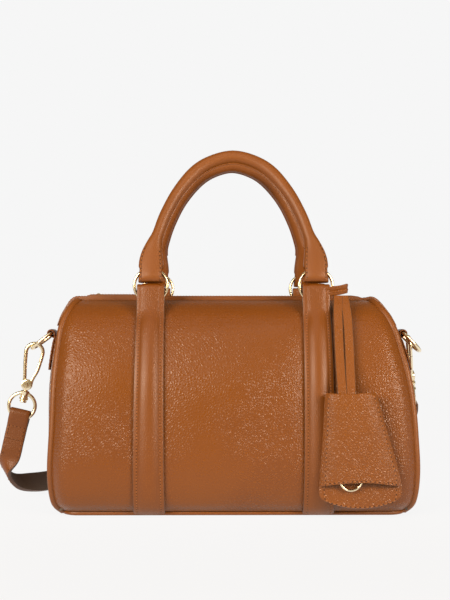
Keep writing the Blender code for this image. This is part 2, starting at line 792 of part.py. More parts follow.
def make_slider():
    """The zip's slider: a plate on the closed teeth with two ears and a cross bar; returns the bar's height."""
    low = TAPE_HEIGHT + TAPE_THICKNESS / 2 + 0.6 * MM
    top = low + 1.5 * MM
    half = SLIDER_LENGTH / 2
    outline = [(-half, low), (half, low), (half, top - 0.5 * MM), (half - 0.8 * MM, top)]
    outline += [(-half + 0.8 * MM, top), (-half, top - 0.5 * MM)]
    slider = as_mesh(plate([outline], SLIDER_WIDTH, "zip_slider", TURN_TO_Y))
    bar = top + PULLER_LIFT
    ear = [(-1.6 * MM, low + 0.5 * MM), (1.6 * MM, low + 0.5 * MM)] + arc((0, bar), 1.2 * MM, 0, 180, 6)
    reach = PULLER_WIDTH / 2 + GAP + EAR_THICKNESS / 2
    tools = [as_mesh(tube([(0, -reach, bar), (0, reach, bar)], 0.6 * MM, 1, name="slider_bar"))]
    for side in (-1, 1):
        tools.append(as_mesh(plate([ear], EAR_THICKNESS, "slider_ear", TURN_TO_Y)))
        tools[-1].location.y = side * reach
    joined(slider, tools, "zip_slider")
    slider.location.x = SLIDER_START
    return bar


def make_puller(height):
    """The zip's puller: an eye round the cross bar, a tongue lying along the zip with a hole at its tip."""
    half = PULLER_THICKNESS / 2
    outline = arc((0, 0), 1.55 * MM, 35, 325, 10)
    outline += [(2.4 * MM, -half), (PULLER_LENGTH, -half), (PULLER_LENGTH, half), (2.4 * MM, half)]
    hole = arc((0, 0), 0.9 * MM, 0, 315, 7)
    puller = as_mesh(plate([outline, hole], PULLER_WIDTH, "zip_puller", TURN_TO_Y))
    tip = disc(PULLER_WIDTH * 0.26, -2 * MM, 2 * MM)
    tip.location.x = PULLER_LENGTH - PULLER_WIDTH * 0.5
    tip.parent = puller
    cut(puller, cutter(tip))
    puller.location = (SLIDER_START, 0, height)
    metal(puller, "zip_puller")


def end_skin(height, y=0.0):
    depth, length = skin_at(height)
    return length + end_bulge(height, y, depth)


def bar_place():
    """(distance along X, height) of the D-ring's bar in its tab, on a body that doesn't lean."""
    height = TAB_TOP - BAR_DROP
    return end_skin(height) + BAR_STANDOFF + D_WIRE / 2 + GAP + LOOP_LEATHER, height


def end_tab(side, name):
    """A leather tab sewn to the end panel, folded over the D-ring's bar at its top."""
    bar = bar_place()
    outer = D_WIRE / 2 + GAP + LOOP_LEATHER
    bottom = TAB_TOP - END_TAB_LENGTH
    inner = [(end_skin(z) + GAP, z) for z in (bottom, bottom + 8 * MM, bottom + 16 * MM, bar[1] - 3 * MM)]
    outline = inner + arc(bar, outer, 150, 0, 8)
    face = [(x + 2 * LOOP_LEATHER + 0.2 * MM, z) for x, z in reversed(inner[:-1])]
    outline += [(bar[0] + outer * 0.8, bar[1] - 2.4 * MM)] + face
    hole = arc(bar, D_WIRE / 2 + GAP, 0, 324, 9)
    loops = [leaned([(side * x, z) for x, z in loop]) for loop in (outline, hole)]
    return leather(as_mesh(plate(loops, END_TAB_WIDTH, name, TURN_TO_Y)), name)


def d_ring(side, tilt, name):
    """A D-ring with its bar in the end tab, its bow hanging outwards at a tilt below the horizontal."""
    bow = D_REACH - D_HALF_WIDTH
    marks = [(0, -D_HALF_WIDTH * 0.75), (0, D_HALF_WIDTH * 0.75), (0.9 * MM, D_HALF_WIDTH * 0.93)]
    marks += [(2.6 * MM, D_HALF_WIDTH)] + arc((bow, 0), D_HALF_WIDTH, 90, -90, 10)
    marks += [(2.6 * MM, -D_HALF_WIDTH), (0.9 * MM, -D_HALF_WIDTH * 0.93)]
    points = []
    for reach, y in marks:
        points.append(on_d_ring(side, tilt, reach, y))
    return metal(tube(points, D_WIRE / 2, 1, True, name), name)


def on_d_ring(side, tilt, reach, y):
    """A place on a D-ring's bow."""
    bar = bar_place()
    turn = math.radians(tilt)
    x = side * (bar[0] + reach * math.cos(turn)) + slouch(bar[1])
    return Vector((x, y, bar[1] - reach * math.sin(turn)))


def hook_frame(origin, out, up):
    """The matrix of a snap hook: x across the hook, z up it, the origin on the wire that it holds."""
    across = up.cross(out)
    frame = Matrix((out, across, up)).transposed().to_4x4()
    frame.translation = origin
    return frame


def joined(first, others, name):
    """One metal solid from several that overlap, which move with the first."""
    for other in others:
        other.parent = first
        cut(first, cutter(other), "UNION")
    return metal(first, name)


def disc(radius, low, high, count=12):
    """An upright cylinder between two heights, as a mesh."""
    bm = bmesh.new()
    place = Matrix.Translation((0, 0, (low + high) / 2))
    bmesh.ops.create_cone(
        bm, cap_ends=True, segments=count, radius1=radius, radius2=radius, depth=abs(high - low), matrix=place
    )
    return object_from(bm, "disc")


def snap_hook(frame, prefix):
    """A pear-shaped snap hook: its bow on a knuckle, its sprung gate, and the eye that turns on its stud."""
    wire = HOOK_WIRE / 2
    bend = HOOK_WIDTH / 2 - wire
    crown = HOOK_CROWN
    knuckle = crown + HOOK_WIDTH / 2 - HOOK_LENGTH + KNUCKLE_RADIUS
    nose = crown - NOSE_LENGTH
    bow = [(bend * 0.36, knuckle), (bend * 0.46, knuckle + 5 * MM), (bend * 0.76, knuckle + 14 * MM)]
    bow += arc((0, crown), bend, -12, 180, 12) + [(-bend * 0.96, nose)]
    body = as_mesh(tube([(x, 0, z) for x, z in bow], wire, 1, name=f"{prefix}_hook"))
    corners = arc((0, knuckle), KNUCKLE_RADIUS, 190, 430, 14)
    corners += [(-0.6 * MM, knuckle + 3.8 * MM), (-0.6 * MM, knuckle + 0.8 * MM)]
    low = knuckle - KNUCKLE_RADIUS
    block = as_mesh(plate([corners], KNUCKLE_WIDTH, "knuckle", TURN_TO_Y))
    boss_high = low - GAP
    boss_low = boss_high - BOSS_LENGTH
    head_low = boss_low - GAP - 1.6 * MM
    stud = disc(STUD_RADIUS, head_low + MM, knuckle - 2 * MM, 10)
    head = disc(STUD_RADIUS + 1.1 * MM, head_low, head_low + 1.6 * MM, 10)
    joined(body, [block, stud, head], f"{prefix}_hook").matrix_world = frame
    line = [(-2.6 * MM, 0, knuckle + 1.4 * MM), (-bend * 0.94, 0, nose - 0.5 * MM)]
    gate = as_mesh(tube(line, wire * 0.85, 1, name=f"{prefix}_hook_gate"))
    metal(gate, f"{prefix}_hook_gate").matrix_world = frame
    radius = (EYE_OUTER - EYE_WIRE) / 2
    middle = boss_high - 1.9 * MM - radius
    eye = as_mesh(tube(ring_points((0, 0, middle), radius, 20), EYE_WIRE / 2, 1, True, name="eye"))
    joined(eye, [disc(BOSS_RADIUS, boss_low, boss_high)], f"{prefix}_hook_eye").matrix_world = frame
    bore = disc(STUD_RADIUS + GAP, boss_low - MM, boss_high + MM)
    bore.parent = eye
    cut(eye, cutter(bore))
    return middle


def strap_end(frame, middle, name):
    """The shoulder strap's end, folded over the lower arc of the eye; returns the height where it stops."""
    radius = (EYE_OUTER - EYE_WIRE) / 2
    reach = math.sqrt(radius ** 2 - (STRAP_WIDTH / 2) ** 2)
    slot = EYE_WIRE / 2 + 0.5 * MM
    outer = slot + STRAP_LAYER
    crown = middle - reach + EYE_WIRE / 2 * radius / reach + GAP - slot
    low = middle - radius - EYE_WIRE / 2
    bottom = crown + outer - STRAP_END_LENGTH
    half = STRAP_THICKNESS / 2
    outline = arc((0, crown), outer, 0, 180, 8) + [(-outer, low + MM), (-half - 0.3 * MM, low - 4 * MM)]
    outline += [(-half, bottom), (half, bottom), (half + 0.3 * MM, low - 4 * MM), (outer, low + MM)]
    hole = arc((0, crown), slot, 0, 180, 8) + [(-slot, low + MM), (0, low - MM), (slot, low + MM)]
    thing = as_mesh(plate([outline, hole], STRAP_WIDTH, name))
    thing.matrix_world = frame
    leather(thing, name)
    return bottom


def hook_place(side):
    """The left hook hangs from the D-ring's bow and faces the front, the right one from its rear limb, edge-on."""
    if side < 0:
        lean = math.radians(LEFT_HOOK_LEAN)
        out = Vector((-math.cos(lean), 0, math.sin(lean)))
        up = Vector((math.sin(lean), 0, math.cos(lean)))
        return hook_frame(on_d_ring(side, LEFT_TILT, D_REACH, 0) - out * 2 * MM, out, up)
    lean = math.radians(RIGHT_HOOK_LEAN)
    out = Vector((0, math.cos(lean), math.sin(lean)))
    up = Vector((-math.tan(math.radians(RIGHT_HOOK_OUT)), -math.sin(lean), math.cos(lean))).normalized()
    return hook_frame(on_d_ring(side, RIGHT_TILT, RIGHT_HOOK_REACH, D_HALF_WIDTH) + up * 0.5 * MM, out, up)


def ribbon(marks, width, thickness, name):
    """A flat strap along (place, width direction) marks."""
    places = smooth_line([place for place, across in marks], 4)
    widths = smooth_line([across for place, across in marks], 4)
    rings = []
    for i, place in enumerate(places):
        run = (places[min(i + 1, len(places) - 1)] - places[max(i - 1, 0)]).normalized()
        across = (widths[i] - run * widths[i].dot(run)).normalized() * width / 2
        rise = run.cross(across).normalized() * thickness / 2
        rings.append([place - across - rise, place + across - rise, place + across + rise, place - across + rise])
    return loft(rings, name)


def strap_marks(left, right):
    """(place, width direction) marks of the strap from the left hook to the right, in three passes behind the bag."""
    edge = STRAP_WIDTH / 2 + 0.3 * MM
    upright = Vector((0, 0, 1))
    side = BODY_HALF_LENGTH
    shares = (-STRAP_GAP, -STRAP_GAP - 3 * MM, -12 * MM)
    marks = []
    for share in shares:
        marks.append((left[0] @ Vector((0, 0, left[1] + share)), left[0].to_3x3() @ Vector((-1, 0, 0))))
    for x, y, z, across in (
        (40.5, 4, 22, (0.94, 0.14, 0.3)), (35.5, 15, 12.5, (0.7, -0.1, 0.7)), (24.5, 32, 9, (0.35, -0.2, 0.9)),
        (13.5, 50, 8, (0.1, -0.1, 1)),
    ):
        marks.append((Vector((-side - x * MM, y * MM, z * MM)), Vector(across)))
    turn = side - 23.5 * MM
    near = BODY_HALF_DEPTH + STRAP_CLEARANCE
    floor = [(-turn - 22 * MM, near - 9 * MM)]
    for k in range(3):
        way = 1 - 2 * (k % 2)
        y = near + k * STRAP_PASS
        floor += [(way * share * turn, y) for share in (-1, -0.5, 0, 0.5, 1)]
        if k < 2:
            floor += [(way * (turn + 13 * MM), y + 1.7 * MM), (way * (turn + 18 * MM), y + STRAP_PASS / 2)]
            floor += [(way * (turn + 13 * MM), y + STRAP_PASS - 1.7 * MM)]
    floor += [(turn + 24 * MM, y - 10 * MM), (turn + 38 * MM, y - 32 * MM)]
    marks += [(Vector((x, y, edge)), upright) for x, y in floor]
    marks.append((Vector((side + 18.5 * MM, BODY_HALF_DEPTH - 7 * MM, 14 * MM)), Vector((0, 0.47, 0.88))))
    marks.append((Vector((side + 16 * MM, BODY_HALF_DEPTH - 23 * MM, 27 * MM)), Vector((0, 0.77, 0.64))))
    for share in reversed(shares):
        marks.append((right[0] @ Vector((0, 0, right[1] + share)), right[0].to_3x3() @ Vector((1, 0, 0))))
    return marks


def shoulder_strap(left, right):
    """The strap from the left hook down to the floor, folded on edge behind the bag, and up to the right hook."""
    strap = ribbon(strap_marks(left, right), STRAP_WIDTH, STRAP_THICKNESS, "shoulder_strap")
    return leather(strap, "shoulder_strap")


def make_ends():
    """The end tabs, D-rings and snap hooks, and the shoulder strap between them."""
    stops = []
    for side, name, tilt in ((-1, "left", LEFT_TILT), (1, "right", RIGHT_TILT)):
        end_tab(side, f"{name}_end_tab")
        d_ring(side, tilt, f"{name}_d_ring")
        frame = hook_place(side)
        stops.append((frame, strap_end(frame, snap_hook(frame, name), f"{name}_strap_end")))
    shoulder_strap(*stops)


def key_hitch(name):
    """The lace's knot round the front right ring's outer side."""
    middle = -RING_Y
    wire = RING_WIRE / 2
    half = HITCH_DEPTH / 2
    ring_x = WEB_SPACING / 2 + (RING_OUTER - RING_WIRE) / 2
    near = ring_x - HITCH_INNER
    far = ring_x + HITCH_OUTER
    outline = [(near, -half * 0.6), (near + 1.5 * MM, -half), (far - 1.5 * MM, -half), (far, -half * 0.6)]
    outline += [(x, -y) for x, y in reversed(outline)]
    hole = [(ring_x - 3.6 * MM, -wire - GAP), (ring_x + wire + GAP, -wire - GAP)]
    hole += [(x, -y) for x, y in reversed(hole)]
    knot = plate([outline, hole], HITCH_HEIGHT, name, Matrix())
    knot.location = (0, middle, HITCH_LOW + HITCH_HEIGHT / 2)
    return leather(as_mesh(knot), name, TAN_DARK)


# (share of the way forward, share of the way down) of the lace from the knot into the bell
LACE_RUN = (
    (0, 0), (0.117, 0.074), (0.264, 0.185), (0.394, 0.31), (0.524, 0.465), (0.655, 0.628), (0.801, 0.778),
    (0.941, 0.903), (1, 1),
)


def key_lace(name):
    """Two flat strands from the knot to the bell, and inside it one tongue that holds the key ring."""
    inside = -BELL_Y
    top = BELL_TOP
    start = (-RING_Y - 2.4 * MM, HITCH_LOW - GAP - 0.6 * MM)
    line = []
    for back, down in LACE_RUN:
        line.append((start[0] + (inside - start[0]) * back, start[1] + (top - 4 * MM - start[1]) * down))
    line += [(inside, top - 9 * MM), (inside, KEY_RING_TOP + 4.5 * MM)]
    widths = [LACE_WIDTH] * 8 + [LACE_WIDTH * 0.9, TONGUE_WIDTH, TONGUE_WIDTH]
    rings = []
    for i, (y, z) in enumerate(line):
        before = line[max(i - 1, 0)]
        after = line[min(i + 1, len(line) - 1)]
        run = Vector((after[0] - before[0], after[1] - before[1])).normalized() * LACE_THICKNESS / 2
        half = widths[i] / 2
        x = LACE_X
        ring = [(x - half, y - run.y, z + run.x), (x + half, y - run.y, z + run.x)]
        ring += [(x + half, y + run.y, z - run.x), (x - half, y + run.y, z - run.x)]
        rings.append(ring)
    lace = loft(rings, name)
    front = -BELL_Y - 12 * MM
    low, high = top + 3 * MM, HITCH_LOW - 4.4 * MM
    slot = [(front, low), (-RING_Y, low), (-RING_Y, high), (front, high)]
    slit = as_mesh(plate([slot], LACE_THICKNESS / 2, "slit"))
    slit.location.x = LACE_X
    cut(lace, cutter(slit))
    wire = KEY_RING_WIRE / 2 + GAP
    centre = (inside, KEY_RING_TOP - KEY_RING_WIRE / 2)
    fold = arc(centre, wire + LACE_FOLD, 180, 360, 8)
    fold += [(inside + 0.8 * MM, KEY_RING_TOP + 5 * MM), (inside - 0.8 * MM, KEY_RING_TOP + 5 * MM)]
    piece = as_mesh(plate([fold], TONGUE_WIDTH, "lace_fold"))
    piece.location.x = LACE_X
    cut(lace, cutter(piece), "UNION")
    bore = arc((inside, centre[1] - 0.2 * MM), wire + 0.3 * MM, 0, 324, 9)
    tunnel = as_mesh(plate([bore], TONGUE_WIDTH + 4 * MM, "lace_tunnel"))
    tunnel.location.x = LACE_X
    cut(lace, cutter(tunnel))
    return leather(lace, name, TAN_DARK)


# The bell's rows: shares of its height from the top, at the middle and at the sides, then left and right shares
# of its width from the lace
BELL_ROWS = (
    (0, 0, -0.186, 0.457), (0.08, 0.08, -0.212, 0.491), (0.278, 0.291, -0.257, 0.546), (0.518, 0.531, -0.297, 0.61),
)
BACK_ROWS = BELL_ROWS + ((0.785, 0.732, -0.327, 0.658), (0.905, 0.798, -0.335, 0.669), (1, 0.865, -0.331, 0.665))
FRONT_ROWS = BELL_ROWS + ((0.705, 0.732, -0.32, 0.647), (0.765, 0.806, -0.32, 0.643))


def bell_leaf(rows, front, name):
    """A leaf of the key bell; the front one bulges."""
    grid = []
    for middle_drop, side_drop, left, right in rows:
        row = []
        for k in range(9):
            u = k / 4 - 1
            x = LACE_X + BELL_WIDTH * ((left + right) / 2 + (right - left) / 2 * u)
            z = BELL_TOP - BELL_HEIGHT * (middle_drop + (side_drop - middle_drop) * u * u)
            y = -BELL_BACK
            if front:
                y = -BELL_BACK - LEAF_THICKNESS - GAP - BELL_GAP * (1 - abs(u) ** 4)
            row.append((x, y, z))
        grid.append(row)
    return leather(sheet(grid, LEAF_THICKNESS, -1.0, name), name)


def make_bell():
    """The bell-shaped key holder on the front right ring."""
    key_hitch("key_hitch")
    key_lace("key_lace")
    bell_leaf(BACK_ROWS, False, "key_bell_back")
    bell_leaf(FRONT_ROWS, True, "key_bell_front")
    radius = (KEY_RING_OUTER - KEY_RING_WIRE) / 2
    centre = (LACE_X, -BELL_Y, KEY_RING_TOP - KEY_RING_WIRE / 2 - radius)
    metal(tube(ring_points(centre, radius, 20), KEY_RING_WIRE / 2, 1, True, "key_ring"), "key_ring")


make_body()
make_zip()
make_carry()
make_puller(make_slider())
make_ends()
make_bell()
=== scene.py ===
"""The visual model of the small barrel handbag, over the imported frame, and its studio."""

import math

import bmesh
import bpy
from mathutils import Matrix, Vector, noise


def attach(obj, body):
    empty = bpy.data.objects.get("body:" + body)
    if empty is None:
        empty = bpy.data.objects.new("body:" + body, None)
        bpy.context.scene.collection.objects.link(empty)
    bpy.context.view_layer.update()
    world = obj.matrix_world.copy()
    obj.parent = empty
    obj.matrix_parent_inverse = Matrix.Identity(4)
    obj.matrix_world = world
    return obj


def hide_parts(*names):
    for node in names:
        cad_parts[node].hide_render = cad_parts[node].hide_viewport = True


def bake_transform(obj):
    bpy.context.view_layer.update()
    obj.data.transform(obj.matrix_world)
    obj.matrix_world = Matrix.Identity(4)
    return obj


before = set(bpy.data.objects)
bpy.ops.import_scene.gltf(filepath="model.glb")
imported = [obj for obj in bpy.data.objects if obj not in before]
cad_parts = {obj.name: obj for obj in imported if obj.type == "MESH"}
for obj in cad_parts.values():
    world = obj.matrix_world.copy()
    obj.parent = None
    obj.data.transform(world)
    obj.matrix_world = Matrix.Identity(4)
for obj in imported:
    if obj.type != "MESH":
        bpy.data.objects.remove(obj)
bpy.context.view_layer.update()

MM = 0.001

# Sizes, as in the CAD
GAP = 0.3 * MM
BODY_HALF_LENGTH = 123.5 * MM
BODY_HALF_DEPTH = 69 * MM
BODY_TOP = 145 * MM
SHELL = 2.0 * MM
CORNER_RADIUS = 15 * MM
TOP_CORNER_RADIUS = 4 * MM
SHOULDER_DROP = 30 * MM
SLOUCH = 6 * MM
SLOUCH_FROM = 60 * MM
END_BULGE = 8 * MM
PIPING_RADIUS = 2.5 * MM
BINDING_WIDTH = 10.5 * MM
BINDING_THICKNESS = 1.8 * MM
ZIP_HALF_WIDTH = 9 * MM
MOUTH_LEFT = -67.5 * MM
MOUTH_RIGHT = 78.5 * MM
TAPE_HEIGHT = BODY_TOP - 1.4 * MM
TAB_TOP = BODY_TOP - 19 * MM
WEB_SPACING = 112.4 * MM
WEB_WIDTH = 19.4 * MM
WEB_THICKNESS = 2.4 * MM
LOOP_WIDTH = 18.6 * MM
LOOP_LEATHER = 1.5 * MM
RING_OUTER = 24.7 * MM
RING_WIRE = 2.2 * MM
RING_Y = BODY_HALF_DEPTH - 24 * MM
RING_Z = BODY_TOP + 9 * MM
BEND_Y = BODY_HALF_DEPTH - 21.4 * MM
BEND_Z = BODY_TOP - 7.6 * MM
HANDLE_HEIGHT = 250 * MM
HANDLE_LEAN = 16.0
GRIP_DIAMETER = 9.4 * MM
LEG_DIAMETER = 8.0 * MM
TAB_WIDTH = 16.8 * MM
TAB_THICKNESS = 9.4 * MM
TAB_DROP = 5.3 * MM
LOWER_SKIN = ((13, 2.9, 5.5), (6, 10, 1.5), (0.8, 28, 0), (0, 52, 1))
UPPER_SKIN = ((3.5, 57, 3.2), (12, 28, 7.5), (19, 14.5, 11.5), (27, 6.7, 16), (38, 1.6, 19.5), (49, 0, 22))
SEAM_ANGLE = 65.0
END_TAB_LENGTH = 31 * MM
END_TAB_WIDTH = 15 * MM
D_WIRE = 2.5 * MM
D_HALF_WIDTH = 10 * MM
D_REACH = 18 * MM
BAR_DROP = 5 * MM
BAR_STANDOFF = 2.5 * MM
LEFT_TILT = 37.0
RIGHT_TILT = 45.0
LEFT_HOOK_LEAN = 13.0
RIGHT_HOOK_LEAN = 17.0
RIGHT_HOOK_REACH = 10 * MM
RIGHT_HOOK_OUT = 6.0
HOOK_WIRE = 2.8 * MM
HOOK_WIDTH = 15 * MM
HOOK_LENGTH = 35.5 * MM
HOOK_CROWN = -2.43 * MM
NOSE_LENGTH = 6.2 * MM
KNUCKLE_RADIUS = 4 * MM
KNUCKLE_WIDTH = 5 * MM
STUD_RADIUS = 1.5 * MM
BOSS_RADIUS = 3.2 * MM
BOSS_LENGTH = 7 * MM
EYE_OUTER = 21.5 * MM
EYE_WIRE = 2.6 * MM
STRAP_WIDTH = 14.6 * MM
STRAP_THICKNESS = 2.8 * MM
STRAP_LAYER = 1.4 * MM
STRAP_END_LENGTH = 22 * MM
STRAP_GAP = 0.8 * MM
STRAP_PASS = 17.5 * MM
STRAP_CLEARANCE = 12 * MM
HITCH_INNER = 5.95 * MM
HITCH_OUTER = 10.55 * MM
HITCH_LOW = RING_Z - 6.6 * MM
HITCH_HEIGHT = 6.4 * MM
LACE_X = WEB_SPACING / 2 + 16.8 * MM
BELL_TOP = 82.8 * MM
BELL_HEIGHT = 74.9 * MM
BELL_WIDTH = 53.8 * MM
BELL_BACK = BODY_HALF_DEPTH + 4.4 * MM
BELL_GAP = 5.0 * MM
BELL_Y = BELL_BACK + 4.7 * MM
LEAF_THICKNESS = 2.0 * MM
KEY_RING_OUTER = 16.2 * MM
KEY_RING_WIRE = 1.8 * MM
KEY_RING_TOP = BELL_TOP - BELL_HEIGHT + 27.5 * MM


# Camera

def place_camera():
    camera = bpy.data.cameras.new("camera")
    camera.lens = 62.94
    camera.sensor_fit = "VERTICAL"
    camera.sensor_height = 36
    camera.clip_start = 0.01
    thing = bpy.data.objects.new("camera", camera)
    bpy.context.scene.collection.objects.link(thing)
    thing.location = (-0.012, -0.759, 0.1305)
    thing.rotation_euler = (math.radians(90 + 1.1), 0, math.radians(-0.5))
    bpy.context.scene.camera = thing


place_camera()


# The zip's band from its inner to its outer edge: share of its width, then of its thickness
BAND_ACROSS = (
    (0, 0.2), (0.02, 0.75), (0.07, 0.97), (0.2, 1.0), (0.5, 1.08), (0.8, 1.0), (0.93, 0.97), (0.98, 0.75),
    (1, 0.2),
)
# Outlines across the other strips: share of the half width, then of the half thickness
TAB_ACROSS = (
    (-1, -0.4), (-1, 0.4), (-0.93, 0.9), (-0.5, 1), (0, 1.08), (0.5, 1), (0.93, 0.9), (1, 0.4), (1, -0.4),
    (0.9, -1), (-0.9, -1),
)
STRAP_END_ACROSS = (
    (-1, -0.5), (-1, 0.5), (-0.95, 0.92), (-0.6, 1), (0, 1.06), (0.6, 1), (0.95, 0.92), (1, 0.5), (1, -0.5),
    (0.95, -0.98), (-0.95, -0.98),
)
STRAP_ACROSS = (
    (-1, -0.5), (-1, 0.5), (-0.95, 0.9), (-0.75, 0.97), (0, 1.0), (0.75, 0.97), (0.95, 0.9), (1, 0.5),
    (1, -0.5), (0.95, -0.95), (0, -1), (-0.95, -0.95),
)
KNOT_ACROSS = (
    (-0.8, -1), (0.8, -1), (1, -0.5), (1, 0.5), (0.8, 1), (0, 1.15), (-0.8, 1), (-1, 0.5), (-1, -0.5),
)
STRAND_ACROSS = (
    (-1, -0.4), (-1, 0.4), (-0.88, 0.85), (-0.4, 1.0), (0.4, 1.0), (0.88, 0.85), (1, 0.4), (1, -0.4),
    (0.88, -0.9), (-0.88, -0.9),
)
# The base's rounded edge from below: height and inset in millimetres
BASE_EDGE = ((0.0, 2.0), (0.0, 1.0), (0.35, 0.3), (1.0, 0), (1.7, 0), (2.3, 0.3), (2.6, 1.0), (2.6, 2.0))
# A stitch along its length: share of the length, of its radius, and how far it sinks
STITCH_HUMP = ((-0.5, 0.25, -0.9), (-0.36, 0.8, -0.15), (0, 1, 0.15), (0.36, 0.8, -0.15), (0.5, 0.25, -0.9))
# A zip tooth's corners: along the zip, across it, and up
TOOTH_CORNERS = (
    (-1, 0, -1), (1, 0, -1), (1, 0, 1), (-1, 0, 1),
    (-0.8, 1, -0.8), (0.8, 1, -0.8), (0.8, 1, 0.8), (-0.8, 1, 0.8),
)

# Shader maths on sockets

class Val:
    """A socket or a number that Python arithmetic turns into math nodes."""

    def __init__(self, tree, source):
        self.tree = tree
        self.source = source

    def maths(self, operation, *others, clamp=False):
        node = self.tree.nodes.new("ShaderNodeMath")
        node.operation = operation
        node.use_clamp = clamp
        for slot, value in zip(node.inputs, (self, *others)):
            value = value.source if isinstance(value, Val) else value
            if isinstance(value, (int, float)):
                slot.default_value = value
            else:
                self.tree.links.new(value, slot)
        return Val(self.tree, node.outputs[0])

    def __add__(self, other):
        return self.maths("ADD", other)

    __radd__ = __add__

    def __mul__(self, other):
        return self.maths("MULTIPLY", other)

    __rmul__ = __mul__

    def __sub__(self, other):
        return self.maths("SUBTRACT", other)

    def __rsub__(self, other):
        return self.maths("MULTIPLY", -1.0) + other

    def __truediv__(self, other):
        return self.maths("DIVIDE", other)

    def power(self, other):
        return self.maths("POWER", other)

    def sine(self):
        return self.maths("SINE")

    def step(self, low, high):
        """0 below low, 1 above high, smooth between."""
        node = self.tree.nodes.new("ShaderNodeMapRange")
        node.interpolation_type = "SMOOTHSTEP"
        node.inputs["From Min"].default_value = low
        node.inputs["From Max"].default_value = high
        self.tree.links.new(self.source, node.inputs["Value"])
        return Val(self.tree, node.outputs["Result"])


class Paint:
    """A material with helpers for procedural detail in object space."""

    def __init__(self, name):
        self.material = bpy.data.materials.new(name)
        self.material.use_nodes = True
        self.tree = self.material.node_tree
        self.shader = self.tree.nodes["Principled BSDF"]
        self.place = self.tree.nodes.new("ShaderNodeTexCoord").outputs["Object"]

    def axis(self, index):
        node = self.tree.nodes.new("ShaderNodeSeparateXYZ")
        self.tree.links.new(self.place, node.inputs[0])
        return Val(self.tree, node.outputs[index])

    def stretched(self, scale):
        node = self.tree.nodes.new("ShaderNodeMapping")
        node.inputs["Scale"].default_value = scale
        self.tree.links.new(self.place, node.inputs["Vector"])
        return node.outputs[0]

    def noise(self, scale, detail=2.0, place=None, distortion=0.0):
        node = self.tree.nodes.new("ShaderNodeTexNoise")
        node.inputs["Scale"].default_value = scale
        node.inputs["Detail"].default_value = detail
        node.inputs["Distortion"].default_value = distortion
        self.tree.links.new(place or self.place, node.inputs["Vector"])
        return Val(self.tree, node.outputs[0])

    def cells(self, scale, place=None, smooth=0.25):
        """Distance to the nearest cell middle: low in the middle of a pebble, high in the creases."""
        node = self.tree.nodes.new("ShaderNodeTexVoronoi")
        node.feature = "SMOOTH_F1"
        node.inputs["Scale"].default_value = scale
        node.inputs["Smoothness"].default_value = smooth
        node.inputs["Randomness"].default_value = 0.9
        self.tree.links.new(place or self.place, node.inputs["Vector"])
        return Val(self.tree, node.outputs["Distance"])

    def creases(self, scale, place=None):
        """Distance to the border between two cells: 0 in the creases, high in the middle of a grain."""
        node = self.tree.nodes.new("ShaderNodeTexVoronoi")
        node.feature = "DISTANCE_TO_EDGE"
        node.inputs["Scale"].default_value = scale
        node.inputs["Randomness"].default_value = 0.85
        self.tree.links.new(place or self.place, node.inputs["Vector"])
        return Val(self.tree, node.outputs["Distance"])

    def warped(self, scale, reach):
        """Places shifted a little by a noise, so that the grains aren't of one size."""
        node = self.tree.nodes.new("ShaderNodeTexNoise")
        node.inputs["Scale"].default_value = scale
        self.tree.links.new(self.place, node.inputs["Vector"])
        shift = self.tree.nodes.new("ShaderNodeVectorMath")
        shift.operation = "MULTIPLY_ADD"
        shift.inputs[1].default_value = (reach, reach, reach)
        self.tree.links.new(node.outputs[1], shift.inputs[0])
        self.tree.links.new(self.place, shift.inputs[2])
        return shift.outputs[0]

    def mix(self, low, high, share):
        node = self.tree.nodes.new("ShaderNodeMix")
        node.data_type = "RGBA"
        for slot, value in ((node.inputs[6], low), (node.inputs[7], high)):
            if isinstance(value, tuple):
                slot.default_value = (*value, 1) if len(value) == 3 else value
            else:
                self.tree.links.new(value, slot)
        self.tree.links.new(share.source, node.inputs[0])
        return node.outputs[2]

    def colour(self, value):
        if isinstance(value, tuple):
            self.shader.inputs["Base Color"].default_value = (*value, 1)
        else:
            self.tree.links.new(value, self.shader.inputs["Base Color"])
        return self

    def rough(self, value):
        if isinstance(value, float):
            self.shader.inputs["Roughness"].default_value = value
        else:
            self.tree.links.new(value.source, self.shader.inputs["Roughness"])
        return self

    def fixed(self, **values):
        for name, value in values.items():
            self.shader.inputs[name.replace("_", " ")].default_value = value
        return self

    def bump(self, height, distance=0.0002, strength=1.0):
        node = self.tree.nodes.new("ShaderNodeBump")
        node.inputs["Strength"].default_value = strength
        node.inputs["Distance"].default_value = distance
        self.tree.links.new(height.source, node.inputs["Height"])
        self.tree.links.new(node.outputs[0], self.shader.inputs["Normal"])
        return self


TAN = (0.166, 0.046, 0.001)
# Painted shade: the darker colour laid into the leather's creases between grains
TAN_CREASE_SHADE = (0.118, 0.029, 0.001)
TAN_LIGHT = (0.232, 0.069, 0.005)


def leather_paint(name, pebble=0.0018, depth=0.00026, fresh=TAN, crease_shade=TAN_CREASE_SHADE, light=TAN_LIGHT, sheen=0.245):
    """Pebbled calf leather: rounded grains with thin creases between them, waxed to a soft gloss. The creases
    are painted darker as painted shade.
    """
    paint = Paint(name)
    place = paint.warped(60, 0.0006)
    edge = paint.creases(1 / pebble, place)
    domes = edge.step(0.0, 0.46)
    patches = paint.noise(14, 2).step(0.32, 0.68)
    fade = paint.noise(7, 2).step(0.35, 0.7)
    share = 0.35 + patches * 0.65
    height = domes * share + paint.noise(130, 2) * 0.35
    tone = paint.mix(fresh, light, fade * 0.35)
    # Painted shade: the creases between the grains are darkened
    tone = paint.mix(tone, crease_shade, (1.0 - domes) * share * 0.55)
    paint.colour(tone)
    paint.rough(sheen + (1.0 - domes) * 0.12 + patches * 0.04)
    paint.bump(height, depth)
    return paint.fixed(Specular_IOR_Level=0.38).material


